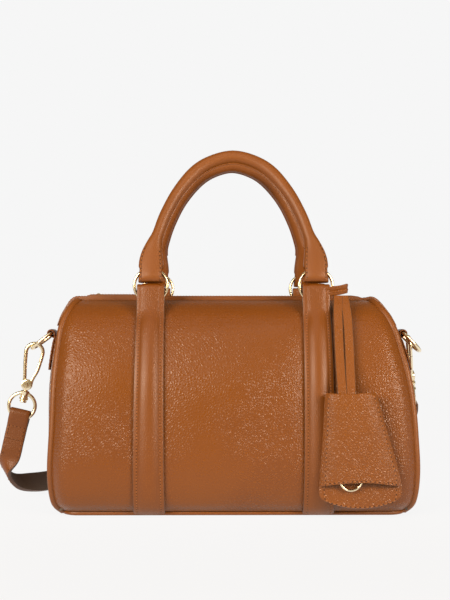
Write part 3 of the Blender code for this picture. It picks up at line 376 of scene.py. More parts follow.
def smooth_leather_paint(name, fresh=TAN, crease_shade=TAN_CREASE_SHADE, light=TAN_LIGHT, along=(1, 1, 1), depth=0.00008):
    """Rolled or edge leather with fine grain and creases drawn out along it. The creases are painted darker
    as painted shade.
    """
    paint = Paint(name)
    drawn = paint.stretched(along)
    creases = paint.noise(420, 3, drawn, 0.4)
    grain = paint.cells(1050)
    fade = paint.noise(22, 2).step(0.3, 0.75)
    tone = paint.mix(fresh, light, fade * 0.35)
    # Painted shade: the creases are darkened
    tone = paint.mix(tone, crease_shade, creases.step(0.55, 0.85) * 0.35)
    paint.colour(tone)
    paint.rough(0.38 + creases * 0.16)
    paint.bump(creases * 0.8 + (1.0 - grain) * 0.35, depth)
    return paint.fixed(Specular_IOR_Level=0.45).material


def suede_paint(name, colour=(0.105, 0.072, 0.050)):
    paint = Paint(name)
    nap = paint.noise(2600, 4)
    patch = paint.noise(60, 3)
    tone = paint.mix(tuple(c * 0.8 for c in colour), tuple(c * 1.35 for c in colour), nap * 0.7 + patch * 0.3)
    paint.colour(tone)
    paint.bump(nap, 0.00008)
    return paint.rough(0.9).material


def edge_paint(name):
    """The dark paint on a strap's cut edge."""
    paint = Paint(name)
    uneven = paint.noise(500, 3)
    paint.colour(paint.mix((0.075, 0.030, 0.012), (0.13, 0.055, 0.022), uneven))
    paint.bump(uneven, 0.00008)
    return paint.rough(0.45).material


def thread_paint(name):
    paint = Paint(name)
    twist = paint.noise(3000, 2)
    paint.colour(paint.mix((0.225, 0.070, 0.010), (0.300, 0.108, 0.025), twist))
    paint.bump(twist, 0.00005)
    return paint.rough(0.6).material


def gold_paint(name):
    """Polished pale gold plate with faint scratches."""
    paint = Paint(name)
    worn = paint.noise(90, 3)
    scratches = paint.noise(900, 2, paint.stretched((1, 6, 1)))
    paint.colour(paint.mix((0.86, 0.70, 0.44), (0.93, 0.80, 0.58), worn))
    paint.rough(0.13 + scratches * 0.10 + worn * 0.05)
    paint.bump(scratches, 0.00001)
    return paint.fixed(Metallic=1.0).material


def cloth_paint(name, colour, pitch=0.00055):
    """A plain weave of warp and weft threads."""
    paint = Paint(name)
    warp = (paint.axis(0) * (2 * math.pi / pitch)).sine()
    weft = (paint.axis(1) * (2 * math.pi / pitch)).sine()
    rise = (paint.axis(2) * (2 * math.pi / pitch)).sine()
    weave = (warp * weft + rise * 0.5) * 0.35 + 0.5
    fuzz = paint.noise(1800, 3)
    tone = paint.mix(tuple(c * 0.65 for c in colour), tuple(c * 1.25 for c in colour),
        weave * 0.7 + fuzz * 0.3)
    paint.colour(tone)
    paint.bump(weave + fuzz * 0.4, 0.00008)
    return paint.rough(0.85).material


PEBBLED = leather_paint("pebbled_leather")
STRAP_LEATHER = leather_paint("strap_leather", 0.0014, 0.00010, sheen=0.30)
BELL_LEATHER = leather_paint("bell_leather", 0.0017, 0.00028, (0.190, 0.056, 0.003),
    light=(0.250, 0.078, 0.007))
HANDLE_LEATHER = smooth_leather_paint("handle_leather", along=(1.0, 1.0, 0.35))
PIPING_LEATHER = smooth_leather_paint("piping_leather")
SUEDE = suede_paint("suede")
EDGE = edge_paint("painted_edge")
THREAD = thread_paint("thread")
# Painted shade: the dark colour of the discs that stand for the shade inside needle holes
HOLE_SHADE = suede_paint("needle_hole", (0.045, 0.016, 0.006))
GOLD = gold_paint("pale_gold")
TAPE = cloth_paint("zip_tape", (0.23, 0.115, 0.050), 0.0009)
LINING = cloth_paint("lining_cloth", (0.33, 0.235, 0.15), 0.0007)


# Geometry helpers

def piece(name, verts, faces, materials, body, smooth=True, places=None):
    """A mesh object with materials that rides on a CAD body."""
    mesh = bpy.data.meshes.new(name)
    mesh.from_pydata([tuple(v) for v in verts], [], faces)
    for material in materials:
        mesh.materials.append(material)
    if places:
        mesh.polygons.foreach_set("material_index", places)
    bm = bmesh.new()
    bm.from_mesh(mesh)
    bmesh.ops.recalc_face_normals(bm, faces=bm.faces)
    bm.to_mesh(mesh)
    bm.free()
    if smooth:
        mesh.shade_smooth()
        mesh.set_sharp_from_angle(angle=math.radians(40))
    thing = bpy.data.objects.new(name, mesh)
    bpy.context.scene.collection.objects.link(thing)
    if body:
        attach(thing, body)
    return thing


def smooth_line(points, steps=4):
    vectors = [Vector(p) for p in points]
    line = []
    for i in range(len(vectors) - 1):
        before = vectors[max(i - 1, 0)]
        start, end = vectors[i], vectors[i + 1]
        after = vectors[min(i + 2, len(vectors) - 1)]
        for k in range(steps):
            t = k / steps
            a = 2 * start
            b = (end - before) * t
            c = (2 * before - 5 * start + 4 * end - after) * t * t
            d = (3 * start - before - 3 * end + after) * t ** 3
            line.append((a + b + c + d) / 2)
    line.append(vectors[-1])
    return line


def loft(name, rings, materials, body, cyclic=False, places=None):
    """A closed solid through rings of matching points; places gives a material index per point of a ring."""
    count = len(rings[0])
    verts = [p for ring in rings for p in ring]
    faces = []
    marks = []
    rows = len(rings)
    for r in range(rows if cyclic else rows - 1):
        s = (r + 1) % rows
        for i in range(count):
            j = (i + 1) % count
            faces.append((r * count + i, r * count + j, s * count + j, s * count + i))
            marks.append(places[i] if places else 0)
    if not cyclic:
        faces.append(tuple(range(count)))
        faces.append(tuple(range((rows - 1) * count, rows * count)))
        end = places[-1] if places else 0
        marks += [end, end]
    return piece(name, verts, faces, materials, body, places=marks)


def frames_along(points, up, cyclic=False):
    """(place, run, side, rise) along a line, with the side square to a given up direction where it can be."""
    found = []
    count = len(points)
    side = None
    for i, place in enumerate(points):
        before = points[(i - 1) % count] if cyclic else points[max(i - 1, 0)]
        after = points[(i + 1) % count] if cyclic else points[min(i + 1, count - 1)]
        run = (after - before).normalized()
        if side is None:
            side = run.cross(up)
            side = side.normalized() if side.length > 0.05 else run.orthogonal().normalized()
        side = (side - run * side.dot(run)).normalized()
        found.append((place, run, side, side.cross(run)))
    return found


def tube(name, points, radius, material, body, sides=16, cyclic=False, up=Vector((0, 0, 1)), round_ends=True):
    """A round bar along a line; radius is a number or one number per point."""
    points = [Vector(p) for p in points]
    radii = radius if isinstance(radius, list) else [radius] * len(points)
    rings = []
    framed = frames_along(points, up, cyclic)
    for (place, run, side, rise), r in zip(framed, radii):
        rings.append([place + side * r * math.cos(a) + rise * r * math.sin(a)
                      for a in (2 * math.pi * k / sides for k in range(sides))])
    if not cyclic and round_ends:
        for index, way in ((0, -1), (-1, 1)):
            place, run, side, rise = framed[index]
            r = radii[index]
            caps = []
            for lift in (35, 65, 85):
                q = r * math.cos(math.radians(lift))
                top = place + run * way * r * 0.5 * math.sin(math.radians(lift))
                caps.append([top + side * q * math.cos(a) + rise * q * math.sin(a)
                             for a in (2 * math.pi * k / sides for k in range(sides))])
            if way < 0:
                rings = list(reversed(caps)) + rings
            else:
                rings = rings + caps
    return loft(name, rings, [material], body, cyclic)


def arc(centre, radius, start, end, steps):
    found = []
    for k in range(steps + 1):
        angle = math.radians(start + (end - start) * k / steps)
        found.append((centre[0] + radius * math.cos(angle), centre[1] + radius * math.sin(angle)))
    return found


def turned(name, profile, material, body, matrix, sides=28):
    """A turned piece from (radius, height) marks about the local z axis."""
    rings = []
    for r, z in profile:
        ring = []
        for k in range(sides):
            a = 2 * math.pi * k / sides
            ring.append(matrix @ Vector((max(r, 0.00001) * math.cos(a), max(r, 0.00001) * math.sin(a), z)))
        rings.append(ring)
    return loft(name, rings, [material], body)


def even_points(points, pitch, start=0.0, end=0.0):
    """(place, run) at even distances along a line."""
    points = [Vector(p) for p in points]
    lengths = [(b - a).length for a, b in zip(points, points[1:])]
    total = sum(lengths) - start - end
    count = max(int(total / pitch), 1)
    found = []
    for k in range(count):
        want = start + (k + 0.5) * total / count
        i = 0
        while i < len(lengths) - 1 and want > lengths[i]:
            want -= lengths[i]
            i += 1
        run = (points[i + 1] - points[i]).normalized()
        found.append((points[i] + run * want, run))
    return found


def stitches(name, rows, body, pitch=2.1 * MM, length=1.45 * MM, radius=0.27 * MM):
    """Thread stitches with a flat dark disc between each two as painted shade of a needle hole, along rows of
    (points, outward direction).
    """
    verts = []
    faces = []
    places = []
    for points, out in rows:
        for place, run in even_points(points, pitch):
            way = out(place) if callable(out) else Vector(out)
            side = run.cross(way).normalized()
            rise = side.cross(run).normalized()
            start = len(verts)
            for share, r, sink in STITCH_HUMP:
                middle = place + run * length * share + rise * radius * sink
                for k in range(6):
                    a = 2 * math.pi * k / 6
                    verts.append(middle + side * radius * r * math.cos(a) + rise * radius * r * math.sin(a))
            for ring in range(4):
                for k in range(6):
                    j = (k + 1) % 6
                    a = start + ring * 6
                    faces.append((a + k, a + j, a + 6 + j, a + 6 + k))
            faces.append(tuple(start + k for k in range(6)))
            faces.append(tuple(start + 24 + k for k in range(6)))
            places += [0] * 26
            start = len(verts)
            # A flat dark disc on the leather between two stitches: painted shade of the needle hole
            middle = place + run * pitch / 2 + rise * 0.03 * MM
            verts.append(middle + rise * 0.08 * MM)
            verts += [middle + run * radius * 1.5 * math.cos(a) + side * radius * 1.15 * math.sin(a)
                      for a in (2 * math.pi * k / 8 for k in range(8))]
            faces += [(start, start + 1 + k, start + 1 + (k + 1) % 8) for k in range(8)]
            places += [1] * 8
    return piece(name, verts, faces, [THREAD, HOLE_SHADE], body, places=places)


# The body's skin, as in the CAD but with more steps

def skin_levels(steps):
    marks = []
    for inward, height, short in LOWER_SKIN:
        marks.append((BODY_HALF_DEPTH - inward * MM, height * MM, BODY_HALF_LENGTH - short * MM))
    for inward, drop, short in UPPER_SKIN:
        marks.append((BODY_HALF_DEPTH - inward * MM, BODY_TOP - drop * MM, BODY_HALF_LENGTH - short * MM))
    return smooth_line(marks, steps)


SKIN = skin_levels(8)


def skin_at(height):
    for low, high in zip(SKIN, SKIN[1:]):
        if low[1] <= height <= high[1]:
            share = (height - low[1]) / (high[1] - low[1])
            return low[0] + (high[0] - low[0]) * share, low[2] + (high[2] - low[2]) * share
    return SKIN[-1][0], SKIN[-1][2]


def slouch(height):
    """How far the soft body leans along X at a height: its upper part sags to the left."""
    share = (height - SLOUCH_FROM) / (BODY_TOP - SLOUCH_FROM)
    return -SLOUCH * max(share, 0) ** 1.5


def leaned(line):
    return [(x + slouch(z), z) for x, z in line]


def corner_radius(level):
    drop = BODY_TOP - level[1]
    return TOP_CORNER_RADIUS + (CORNER_RADIUS - TOP_CORNER_RADIUS) * min(drop / SHOULDER_DROP, 1)


def end_bulge(height, y, depth):
    swell = math.sin(math.pi * height / (BODY_TOP + 15 * MM))
    return END_BULGE * swell * max(1 - (y / depth) ** 2, 0)


def end_skin(height, y=0.0):
    depth, length = skin_at(height)
    return length + end_bulge(height, y, depth)


def around(level, distance, side, face, inset=0.0):
    depth, height, length = level
    radius = corner_radius(level)
    along = radius * math.radians(SEAM_ANGLE) + distance
    quarter = radius * math.pi / 2
    turn = min(max(along / radius, 0), math.pi / 2)
    x = length - radius + (radius - inset) * math.sin(turn) + min(along, 0)
    y = depth - radius + (radius - inset) * math.cos(turn) - max(along - quarter, 0)
    return Vector((side * x + slouch(height), face * y, height))


def seam_gap(index):
    low = around(SKIN[max(index - 3, 0)], 0, 1, 1)
    high = around(SKIN[min(index + 3, len(SKIN) - 1)], 0, 1, 1)
    turn = math.radians(SEAM_ANGLE)
    across = Vector((math.cos(turn), -math.sin(turn), 0))
    slant = across.cross((high - low).normalized()).length
    return (PIPING_RADIUS + 0.35 * MM) / max(slant, 0.5)


def leather_sheet(name, rows, outward, thickness, materials, body):
    """A sheet through rows of points, thickened inwards; outward gives a point's outside direction."""
    count = len(rows[0])
    outer = [p for row in rows for p in row]
    normals = []
    for r, row in enumerate(rows):
        for i, p in enumerate(row):
            along = row[min(i + 1, count - 1)] - row[max(i - 1, 0)]
            up = rows[min(r + 1, len(rows) - 1)][i] - rows[max(r - 1, 0)][i]
            n = along.cross(up).normalized()
            normals.append(n if n.dot(outward(p)) > 0 else -n)
    verts = outer + [p - n * thickness for p, n in zip(outer, normals)]
    size = len(outer)
    faces = []
    places = []
    for r in range(len(rows) - 1):
        for i in range(count - 1):
            a = r * count + i
            faces.append((a, a + 1, a + count + 1, a + count))
            faces.append((size + a, size + a + 1, size + a + count + 1, size + a + count))
            places += [0, len(materials) - 1]
    border = [i for i in range(count)]
    border += [r * count + count - 1 for r in range(1, len(rows))]
    border += [(len(rows) - 1) * count + i for i in range(count - 2, -1, -1)]
    border += [r * count for r in range(len(rows) - 2, 0, -1)]
    for a, b in zip(border, border[1:] + border[:1]):
        faces.append((a, b, size + b, size + a))
        places.append(0)
    return piece(name, verts, faces, materials, body, places=places)


def pillow(x, height):
    """How far the soft leather stands out between its straps and ends."""
    near = (WEB_SPACING - WEB_WIDTH) / 2
    far = (WEB_SPACING + WEB_WIDTH) / 2
    end = skin_at(height)[1] - 2 * MM
    if abs(x) < near:
        crest = 14 * MM
        share = (x - crest) / (near - crest if x > crest else near + crest)
        swell = 2.4 * MM * (1 - abs(share) ** (4.5 if x > crest else 2.4))
    elif abs(x) > far:
        share = 2 * (abs(x) - far) / (end - far) - 1
        swell = 1.9 * MM * max(1 - abs(share) ** 2.2, 0)
    else:
        swell = 0
    return swell * math.sin(math.pi * min(max(height / BODY_TOP, 0), 1)) ** 0.6


def main_panel(face, name):
    """Front or rear leather, slightly uneven as a stuffed soft bag is, rolled in at its seams."""
    rows = []
    for index, level in enumerate(SKIN):
        gap = seam_gap(index)
        reach = CORNER_RADIUS * math.radians(SEAM_ANGLE) - gap + 4 * MM
        steps = [gap + reach * k / 14 for k in range(15)]
        left = [around(level, -step, -1, face) for step in steps]
        right = [around(level, -step, 1, face) for step in reversed(steps)]
        span = [left[-1].lerp(right[0], k / 60) for k in range(1, 60)]
        rows.append(left + span + right)
    count = len(rows[0])
    for r, row in enumerate(rows):
        for i, p in enumerate(row):
            edge = min(i, count - 1 - i) / 6
            height = p.z
            above_base = min((height - 3 * MM) / (12 * MM), 1)
            below_top = min((BODY_TOP + 2 * MM - height) / (20 * MM), 1)
            inside = min(edge, 1) * above_base * below_top
            near_strap = min(abs(abs(p.x) - WEB_SPACING / 2) / (WEB_WIDTH * 0.8), 1)
            swell = pillow(p.x, height)
            soft = noise.noise(Vector((p.x * 14 + face * 3, p.z * 18, 2.0))) * 0.8 * MM
            soft += noise.noise(Vector((p.x * 45, p.z * 30, 5.0 + face))) * 0.25 * MM
            tuck = -0.7 * MM * (1 - min(edge, 1)) ** 2
            p.y += face * (soft * max(inside, 0) * near_strap + swell * max(inside, 0) + tuck)
    piece_ = leather_sheet(name, rows, lambda p: Vector((0, face, 0.4)), SHELL * 0.9, [PEBBLED, SUEDE], "bag")
    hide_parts("front_panel" if face < 0 else "rear_panel")


def end_panel(side, name):
    rows = []
    for index, level in enumerate(SKIN[:-4]):
        gap = seam_gap(index)
        reach = CORNER_RADIUS * math.radians(90 - SEAM_ANGLE) + 6 * MM - gap
        steps = [gap + reach * k / 6 for k in range(7)]
        front = [around(level, step, side, -1) for step in steps]
        rear = [around(level, step, side, 1) for step in reversed(steps)]
        span = [front[-1].lerp(rear[0], k / 30) for k in range(1, 30)]
        row = front + span + rear
        for i, point in enumerate(row):
            edge = min(i, len(row) - 1 - i) / 4
            share = 1 if 0 < i < len(row) - 1 else 0
            point.x += side * end_bulge(level[1], point.y, row[0].y) * share
            point.x += side * noise.noise(point * 22 + Vector((3, side, 1))) * 0.5 * MM * min(edge, 1)
            point.x -= side * 0.6 * MM * (1 - min(edge, 1)) ** 2
        rows.append(row)
    thing = leather_sheet(name, rows, lambda p: Vector((side, 0, 0.1)), SHELL * 0.9, [PEBBLED, SUEDE], "bag")
    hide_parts(f"{name[:-8]}_end_panel")


def piping(side, face, name, node):
    levels = [level for level in SKIN if level[1] < BODY_TOP - 1.0 * MM]
    points = [around(level, 0, side, face, 0.5 * MM) for level in levels]
    low = points[0].copy()
    low.z = PIPING_RADIUS + 0.2 * MM
    points[0] = low
    points = [low + Vector((-side * 7 * MM, 0, -0.1 * MM))] + points
    points.append(points[-1] + Vector((-side * 1.2 * MM, -face * 5 * MM, -0.9 * MM)))
    thing = tube(name, points, PIPING_RADIUS, PIPING_LEATHER, "bag", 20)
    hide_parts(node)


def base_panel():
    depth, _, length = SKIN[0]
    half_length = length - 2.0 * MM
    half_depth = depth - 0.6 * MM
    rings = []
    for height, inward in BASE_EDGE:
        inset = inward * MM
        ring = []
        for sx, sy, start in ((1, 1, 0), (-1, 1, 90), (-1, -1, 180), (1, -1, 270)):
            centre = (sx * (half_length - 12 * MM), sy * (half_depth - 12 * MM))
            corner = arc(centre, 12 * MM - inset, start, start + 90, 8)
            ring += [Vector((x, y, height * MM)) for x, y in corner]
        rings.append(ring)
    thing = loft("base_strip", rings, [STRAP_LEATHER], "bag")
    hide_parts("base_panel")


def make_body():
    main_panel(-1, "front_leather")
    main_panel(1, "rear_leather")
    for side, side_name in ((-1, "left"), (1, "right")):
        end_panel(side, f"{side_name}_leather")
        for face, face_name in ((-1, "front"), (1, "rear")):
            piping(side, face, f"{side_name}_{face_name}_welt", f"{side_name}_{face_name}_piping")
    base_panel()


def end_line(y, low):
    line = []
    for depth, height, length in reversed(SKIN[:-1]):
        if height > low:
            line.append((length + end_bulge(height, y, depth), height))
    depth, length = skin_at(low)
    line.append((length + end_bulge(low, y, depth), low))
    return line


def lifted(line, by):
    moved = []
    for i, (x, z) in enumerate(line):
        before = line[max(i - 1, 0)]
        after = line[min(i + 1, len(line) - 1)]
        run = Vector((after[0] - before[0], after[1] - before[1])).normalized()
        moved.append((x - run.y * by, z + run.x * by))
    return moved


def over_the_top(y, low, rise, flat):
    right = lifted(end_line(y, low), rise)
    start = SKIN[-1][2] - 4 * MM
    right = [(start, flat)] + right
    return [(-x, z) for x, z in reversed(right)] + right


def proud(x):
    """How far the bands stand above the panels' rims: most at the left, where the zip is parked."""
    share = min(max((-x - 56 * MM) / (12 * MM), 0), 1) * min(max((x + 110 * MM) / (10 * MM), 0), 1)
    right = min(max((x - 50 * MM) / (12 * MM), 0), 1) * min(max((96 * MM - x) / (10 * MM), 0), 1)
    middle = 2.9 * MM * min(max((x + 110 * MM) / (10 * MM), 0), 1) * min(max((96 * MM - x) / (10 * MM), 0), 1)
    return middle + 1.1 * MM * share * share * (3 - 2 * share) + 0.4 * MM * right


def zip_binding(face, name, node):
    """The leather band beside the zip, with rolled edges and a row of stitches near each."""
    line = leaned(over_the_top(ZIP_HALF_WIDTH, TAB_TOP + GAP, 0.6 * MM, BODY_TOP - 2.2 * MM))
    fine = []
    for (ax, az), (bx, bz) in zip(line, line[1:]):
        steps = max(int(abs(bx - ax) / (4 * MM)), 1)
        fine += [(ax + (bx - ax) * k / steps, az + (bz - az) * k / steps) for k in range(steps)]
    fine.append(line[-1])
    near = ZIP_HALF_WIDTH
    far = ZIP_HALF_WIDTH + BINDING_WIDTH + 2.4 * MM
    under = [z for x, z in fine]
    fine = [(x, z + proud(x)) for x, z in fine]
    rings = []
    for i, (x, z) in enumerate(fine):
        ring = []
        for share, rise in BAND_ACROSS:
            thin = min(1, 0.25 + 0.75 * (z - TAB_TOP) / (14 * MM))
            lift = lifted(fine[max(i - 1, 0):i + 2], BINDING_THICKNESS * rise * thin)[1 if i else 0]
            ring.append(Vector((lift[0], face * (near + (far - near) * share), lift[1])))
        ring.append(Vector((x, face * far, under[i])))
        ring.append(Vector((x, face * near, under[i])))
        rings.append(ring)
    thing = loft(name, rings, [STRAP_LEATHER], "bag")
    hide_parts(node)
    top = [p for p in lifted(fine, BINDING_THICKNESS * 1.02) if p[1] > TAB_TOP + 16 * MM and p[0] < 68 * MM]
    rows = []
    for share in (0.13, 0.87):
        y = face * (near + (far - near) * share)
        rows.append(([Vector((x, y, z)) for x, z in top],
            lambda p: Vector((p.x * (abs(p.x) > 0.1) * 6, 0, 1)).normalized()))
    stitches(f"{name}_stitches", rows, "bag")


def tooth_verts(place, run, side, rise, face):
    """One metal zip tooth that reaches across the middle from its tape."""
    size = (0.62 * MM, 1.9 * MM, 0.75 * MM)
    verts = []
    for a, b, c in TOOTH_CORNERS:
        reach = (1.9 - b * 2.35) * MM
        verts.append(place + run * a * size[0] + side * face * reach + rise * c * size[2])
    return verts


TOOTH_FACES = ((0, 1, 2, 3), (7, 6, 5, 4), (0, 4, 5, 1), (1, 5, 6, 2), (2, 6, 7, 3), (3, 7, 4, 0))


def teeth(name, line, face, body, shift):
    """A row of teeth along a line of points; shift moves it half a pitch so that two rows mesh."""
    pitch = 2.5 * MM
    verts = []
    faces = []
    for place, run in even_points(line, pitch, start=shift * pitch):
        side = Vector((0, 1, 0))
        rise = run.cross(side).normalized()
        if rise.z < 0 and abs(run.z) < 0.9:
            rise = -rise
        start = len(verts)
        verts += tooth_verts(place, run, side, rise, face)
        faces += [tuple(start + i for i in f) for f in TOOTH_FACES]
    thing = piece(name, verts, faces, [GOLD], body)
    bevel = thing.modifiers.new("round", "BEVEL")
    bevel.width = 0.18 * MM
    bevel.segments = 1
    return thing


def zip_half(face, name, node, body):
    near = 1.6 * MM
    hinge = ZIP_HALF_WIDTH - 0.2 * MM
    rings = []
    for k in range(40):
        x = MOUTH_LEFT + (MOUTH_RIGHT - MOUTH_LEFT) * k / 39
        ring = []
        for y, z in ((near, -0.35), (near, 0.35), (near + 1.2 * MM, 0.42), (5 * MM, 0.30), (hinge, 0.35),
                (hinge, -0.35)):
            ring.append(Vector((x, face * y, TAPE_HEIGHT + z * MM)))
        rings.append(ring)
    tape = loft(name, rings, [TAPE], body)
    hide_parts(node)
    line = [Vector((x, 0, TAPE_HEIGHT)) for x in (MOUTH_LEFT + 1 * MM, 0, MOUTH_RIGHT - 1 * MM)]
    teeth(f"{name}_teeth", line, face, body, 0.0 if face < 0 else 0.5)


def zip_end(side, name):
    mouth = MOUTH_RIGHT if side > 0 else -MOUTH_LEFT
    flat = TAPE_HEIGHT - 0.3 * MM
    whole = over_the_top(0, TAB_TOP + GAP, 0.6 * MM, flat)
    start = len(whole) // 2
    ends = leaned([(side * x, z) for x, z in whole[start:]])
    begin = side * (mouth + 0.5 * MM)
    line = [(begin + (ends[0][0] - begin) * k / 6, flat) for k in range(6)] + ends
    line = [(side * x, z) for x, z in line]
    width = ZIP_HALF_WIDTH - 0.3 * MM
    rings = []
    for (x, z), (top_x, top_z) in zip(line, lifted(line, 0.7 * MM)):
        ring = [Vector((side * x, -width, z)), Vector((side * x, width, z))]
        ring += [Vector((side * top_x, width * s, top_z)) for s in (1, 0.5, 0.15, -0.15, -0.5, -1)]
        rings.append(ring)
    tape = loft(name, rings, [TAPE], "bag")
    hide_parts(f"{name[:-5]}_zip_end")
    middle = [Vector((side * x, 0, z)) for x, z in lifted(line, 0.6 * MM)]
    teeth(f"{name}_teeth_front", middle, -1, "bag", 0.0)
    teeth(f"{name}_teeth_rear", middle, 1, "bag", 0.5)


def make_zip():
    zip_binding(-1, "front_binding", "front_zip_binding")
    zip_binding(1, "rear_binding", "rear_zip_binding")
    zip_half(-1, "front_tape", "front_zip_half", "front_zip_half")
    zip_half(1, "rear_tape", "rear_zip_half", "rear_zip_half")
    zip_end(-1, "left_tape")
    zip_end(1, "right_tape")


# Straps, handles

def offset_line(line, by):
    moved = []
    for i, (y, z) in enumerate(line):
        before = line[max(i - 1, 0)]
        after = line[min(i + 1, len(line) - 1)]
        run = Vector((after[0] - before[0], after[1] - before[1])).normalized()
        moved.append((y + run.y * by, z - run.x * by))
    return moved


def strap_route():
    """(y, z) marks of the strap's middle line up the panel, over the ring and back, with its sizes."""
    web = [(depth, height) for depth, height, _ in SKIN if 3.2 * MM < height < BEND_Z - 6 * MM]
    web = offset_line(web, GAP + WEB_THICKNESS / 2)
    marks = []
    for y, z in web[::2]:
        sewn_width = WEB_WIDTH * (1.075 - 0.12 * min(z / BEND_Z, 1))
        marks.append((y, z, sewn_width, WEB_THICKNESS, min(z / (16 * MM), 1)))
    wire = RING_WIRE / 2
    slot = wire + 0.5 * MM
    half = LOOP_LEATHER / 2
    crown = RING_Z + 1.2 * MM - slot - LOOP_LEATHER
    marks.append((BEND_Y + 1.9 * MM, BEND_Z - 2.2 * MM, WEB_WIDTH * 0.955, 2.1 * MM, 0.6))
    marks.append((BEND_Y + 1.3 * MM, BEND_Z + 1.2 * MM, WEB_WIDTH * 0.95, 1.9 * MM, 0.3))
    marks.append((BEND_Y + 0.4 * MM, BEND_Z + 5.5 * MM, LOOP_WIDTH, 1.7 * MM, 0.2))
    for k in range(9):
        a = math.radians(180 * k / 8)
        marks.append((RING_Y + (slot + half) * math.cos(a), crown + (slot + half) * math.sin(a),
            LOOP_WIDTH, LOOP_LEATHER, 0.2))
    marks.append((RING_Y - 1.5 * MM, crown - 7.5 * MM, LOOP_WIDTH, LOOP_LEATHER, 0.2))
    marks.append((BEND_Y - 1.4 * MM, BEND_Z + 1.5 * MM, LOOP_WIDTH * 0.98, LOOP_LEATHER, 0.1))
    return marks


def strap(side, face, name, nodes):
    """A padded strap from the base seam over the ring and back, with painted edges and two stitch rows."""
    marks = strap_route()
    middle = side * WEB_SPACING / 2
    shares = (-1, -0.97, -0.9, -0.77, -0.68, -0.58, -0.42, -0.22, 0, 0.22, 0.42, 0.58, 0.68, 0.77, 0.9,
        0.97, 1)
    rings = []
    outer_rows = {-0.77: [], 0.77: []}
    for i, (y, z, width, thick, pad) in enumerate(marks):
        before = marks[max(i - 1, 0)]
        after = marks[min(i + 1, len(marks) - 1)]
        run = Vector((after[0] - before[0], after[1] - before[1])).normalized()
        out = Vector((run.y, -run.x))
        ring = []
        for share in shares:
            inner = abs(share)
            rise = 0.5 * thick * (1 if inner < 0.9 else 0.85 if inner < 0.96 else 0.45)
            if inner < 0.68:
                rise += pad * 2.1 * MM * (1 - (inner / 0.68) ** 2.4)
            elif inner < 0.86:
                rise -= 0.2 * MM
            ring.append(Vector((middle + width / 2 * share, face * (y + out.x * rise), z + out.y * rise)))
            if share in outer_rows:
                spot = Vector((middle + width / 2 * share, face * (y + out.x * rise), z + out.y * rise))
                outer_rows[share].append((spot, i))
        for share in (1, 0.9, 0, -0.9, -1):
            rise = -0.5 * thick * (1 if abs(share) < 0.95 else 0.45)
            ring.append(Vector((middle + width / 2 * share, face * (y + out.x * rise), z + out.y * rise)))
        rings.append(ring)
    places = [1] + [0] * 14 + [1, 1] + [1, 0, 0, 1, 1]
    thing = loft(name, rings, [STRAP_LEATHER, EDGE], None, places=places)
    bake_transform(thing)
    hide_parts(*nodes)
    rows = []
    for share in (-0.77, 0.77):
        line = [p for p, i in outer_rows[share] if p.z < BEND_Z + 1 * MM and i < len(marks) - 4]
        rows.append((line, strap_outward(line)))
    corners = [line[-1] for line, out in rows]
    lift = Vector((0, face * 0.5 * MM, 0.2 * MM))
    rows.append(([corners[0], (corners[0] + corners[1]) / 2 + lift, corners[1]], (0, face * 0.9, 0.4)))
    thread = stitches(f"{name}_stitches", rows, None)
    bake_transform(thread)


def strap_outward(line):
    """The outside direction at a place near a line that runs up and over."""
    def out(place):
        best = min(range(len(line)), key=lambda i: (line[i] - place).length_squared)
        before = line[max(best - 1, 0)]
        after = line[min(best + 1, len(line) - 1)]
        run = (after - before).normalized()
        way = Vector((1, 0, 0)).cross(run)
        return way if way.y * line[0].y > 0 or abs(way.z) > 0.8 and way.z > 0 else -way
    return out


def o_ring(side, face, name, node):
    middle = Vector((side * WEB_SPACING / 2, face * RING_Y, RING_Z))
    radius = (RING_OUTER - RING_WIRE) / 2
    turns = [2 * math.pi * k / 64 for k in range(64)]
    points = [middle + Vector((radius * math.cos(a), 0, radius * math.sin(a))) for a in turns]
    thing = tube(name, points, RING_WIRE / 2, GOLD, "front_rings" if face < 0 else "rear_rings", 16,
        True, Vector((0, 1, 0)))
    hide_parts(node)


def handle_pivot():
    radius = (RING_OUTER - RING_WIRE) / 2
    return RING_Z + math.sqrt(radius ** 2 - (TAB_WIDTH / 2) ** 2)


def handle_route():
    top = (HANDLE_HEIGHT - handle_pivot()) / math.cos(math.radians(HANDLE_LEAN)) - GRIP_DIAMETER / 2
    foot = WEB_SPACING / 2
    tab = (TAB_WIDTH, TAB_THICKNESS)
    leg = (LEG_DIAMETER, LEG_DIAMETER)
    grip = (GRIP_DIAMETER, GRIP_DIAMETER)
    return [
        (foot, -TAB_DROP, tab[0], tab[1] * 0.55),
        (foot, -TAB_DROP * 0.7, tab[0], tab[1] * 0.86),
        (foot, 0, tab[0], tab[1]),
        (foot, top * 0.10, tab[0] * 0.98, tab[1] * 0.92),
        (foot - 0.6 * MM, top * 0.18, tab[0] * 0.84, tab[1] * 0.84),
        (foot - 2.0 * MM, top * 0.26, leg[0] * 1.3, leg[1]),
        (foot - 4.4 * MM, top * 0.34, leg[0], leg[1]),
        (foot - 9.2 * MM, top * 0.50, leg[0], leg[1]),
        (foot - 17.5 * MM, top * 0.69, leg[0] * 1.05, leg[1] * 1.05),
        (foot - 29 * MM, top * 0.86, grip[0], grip[1]),
        (foot - 41 * MM, top * 0.955, grip[0], grip[1]),
        (0, top, grip[0], grip[1]),
    ]


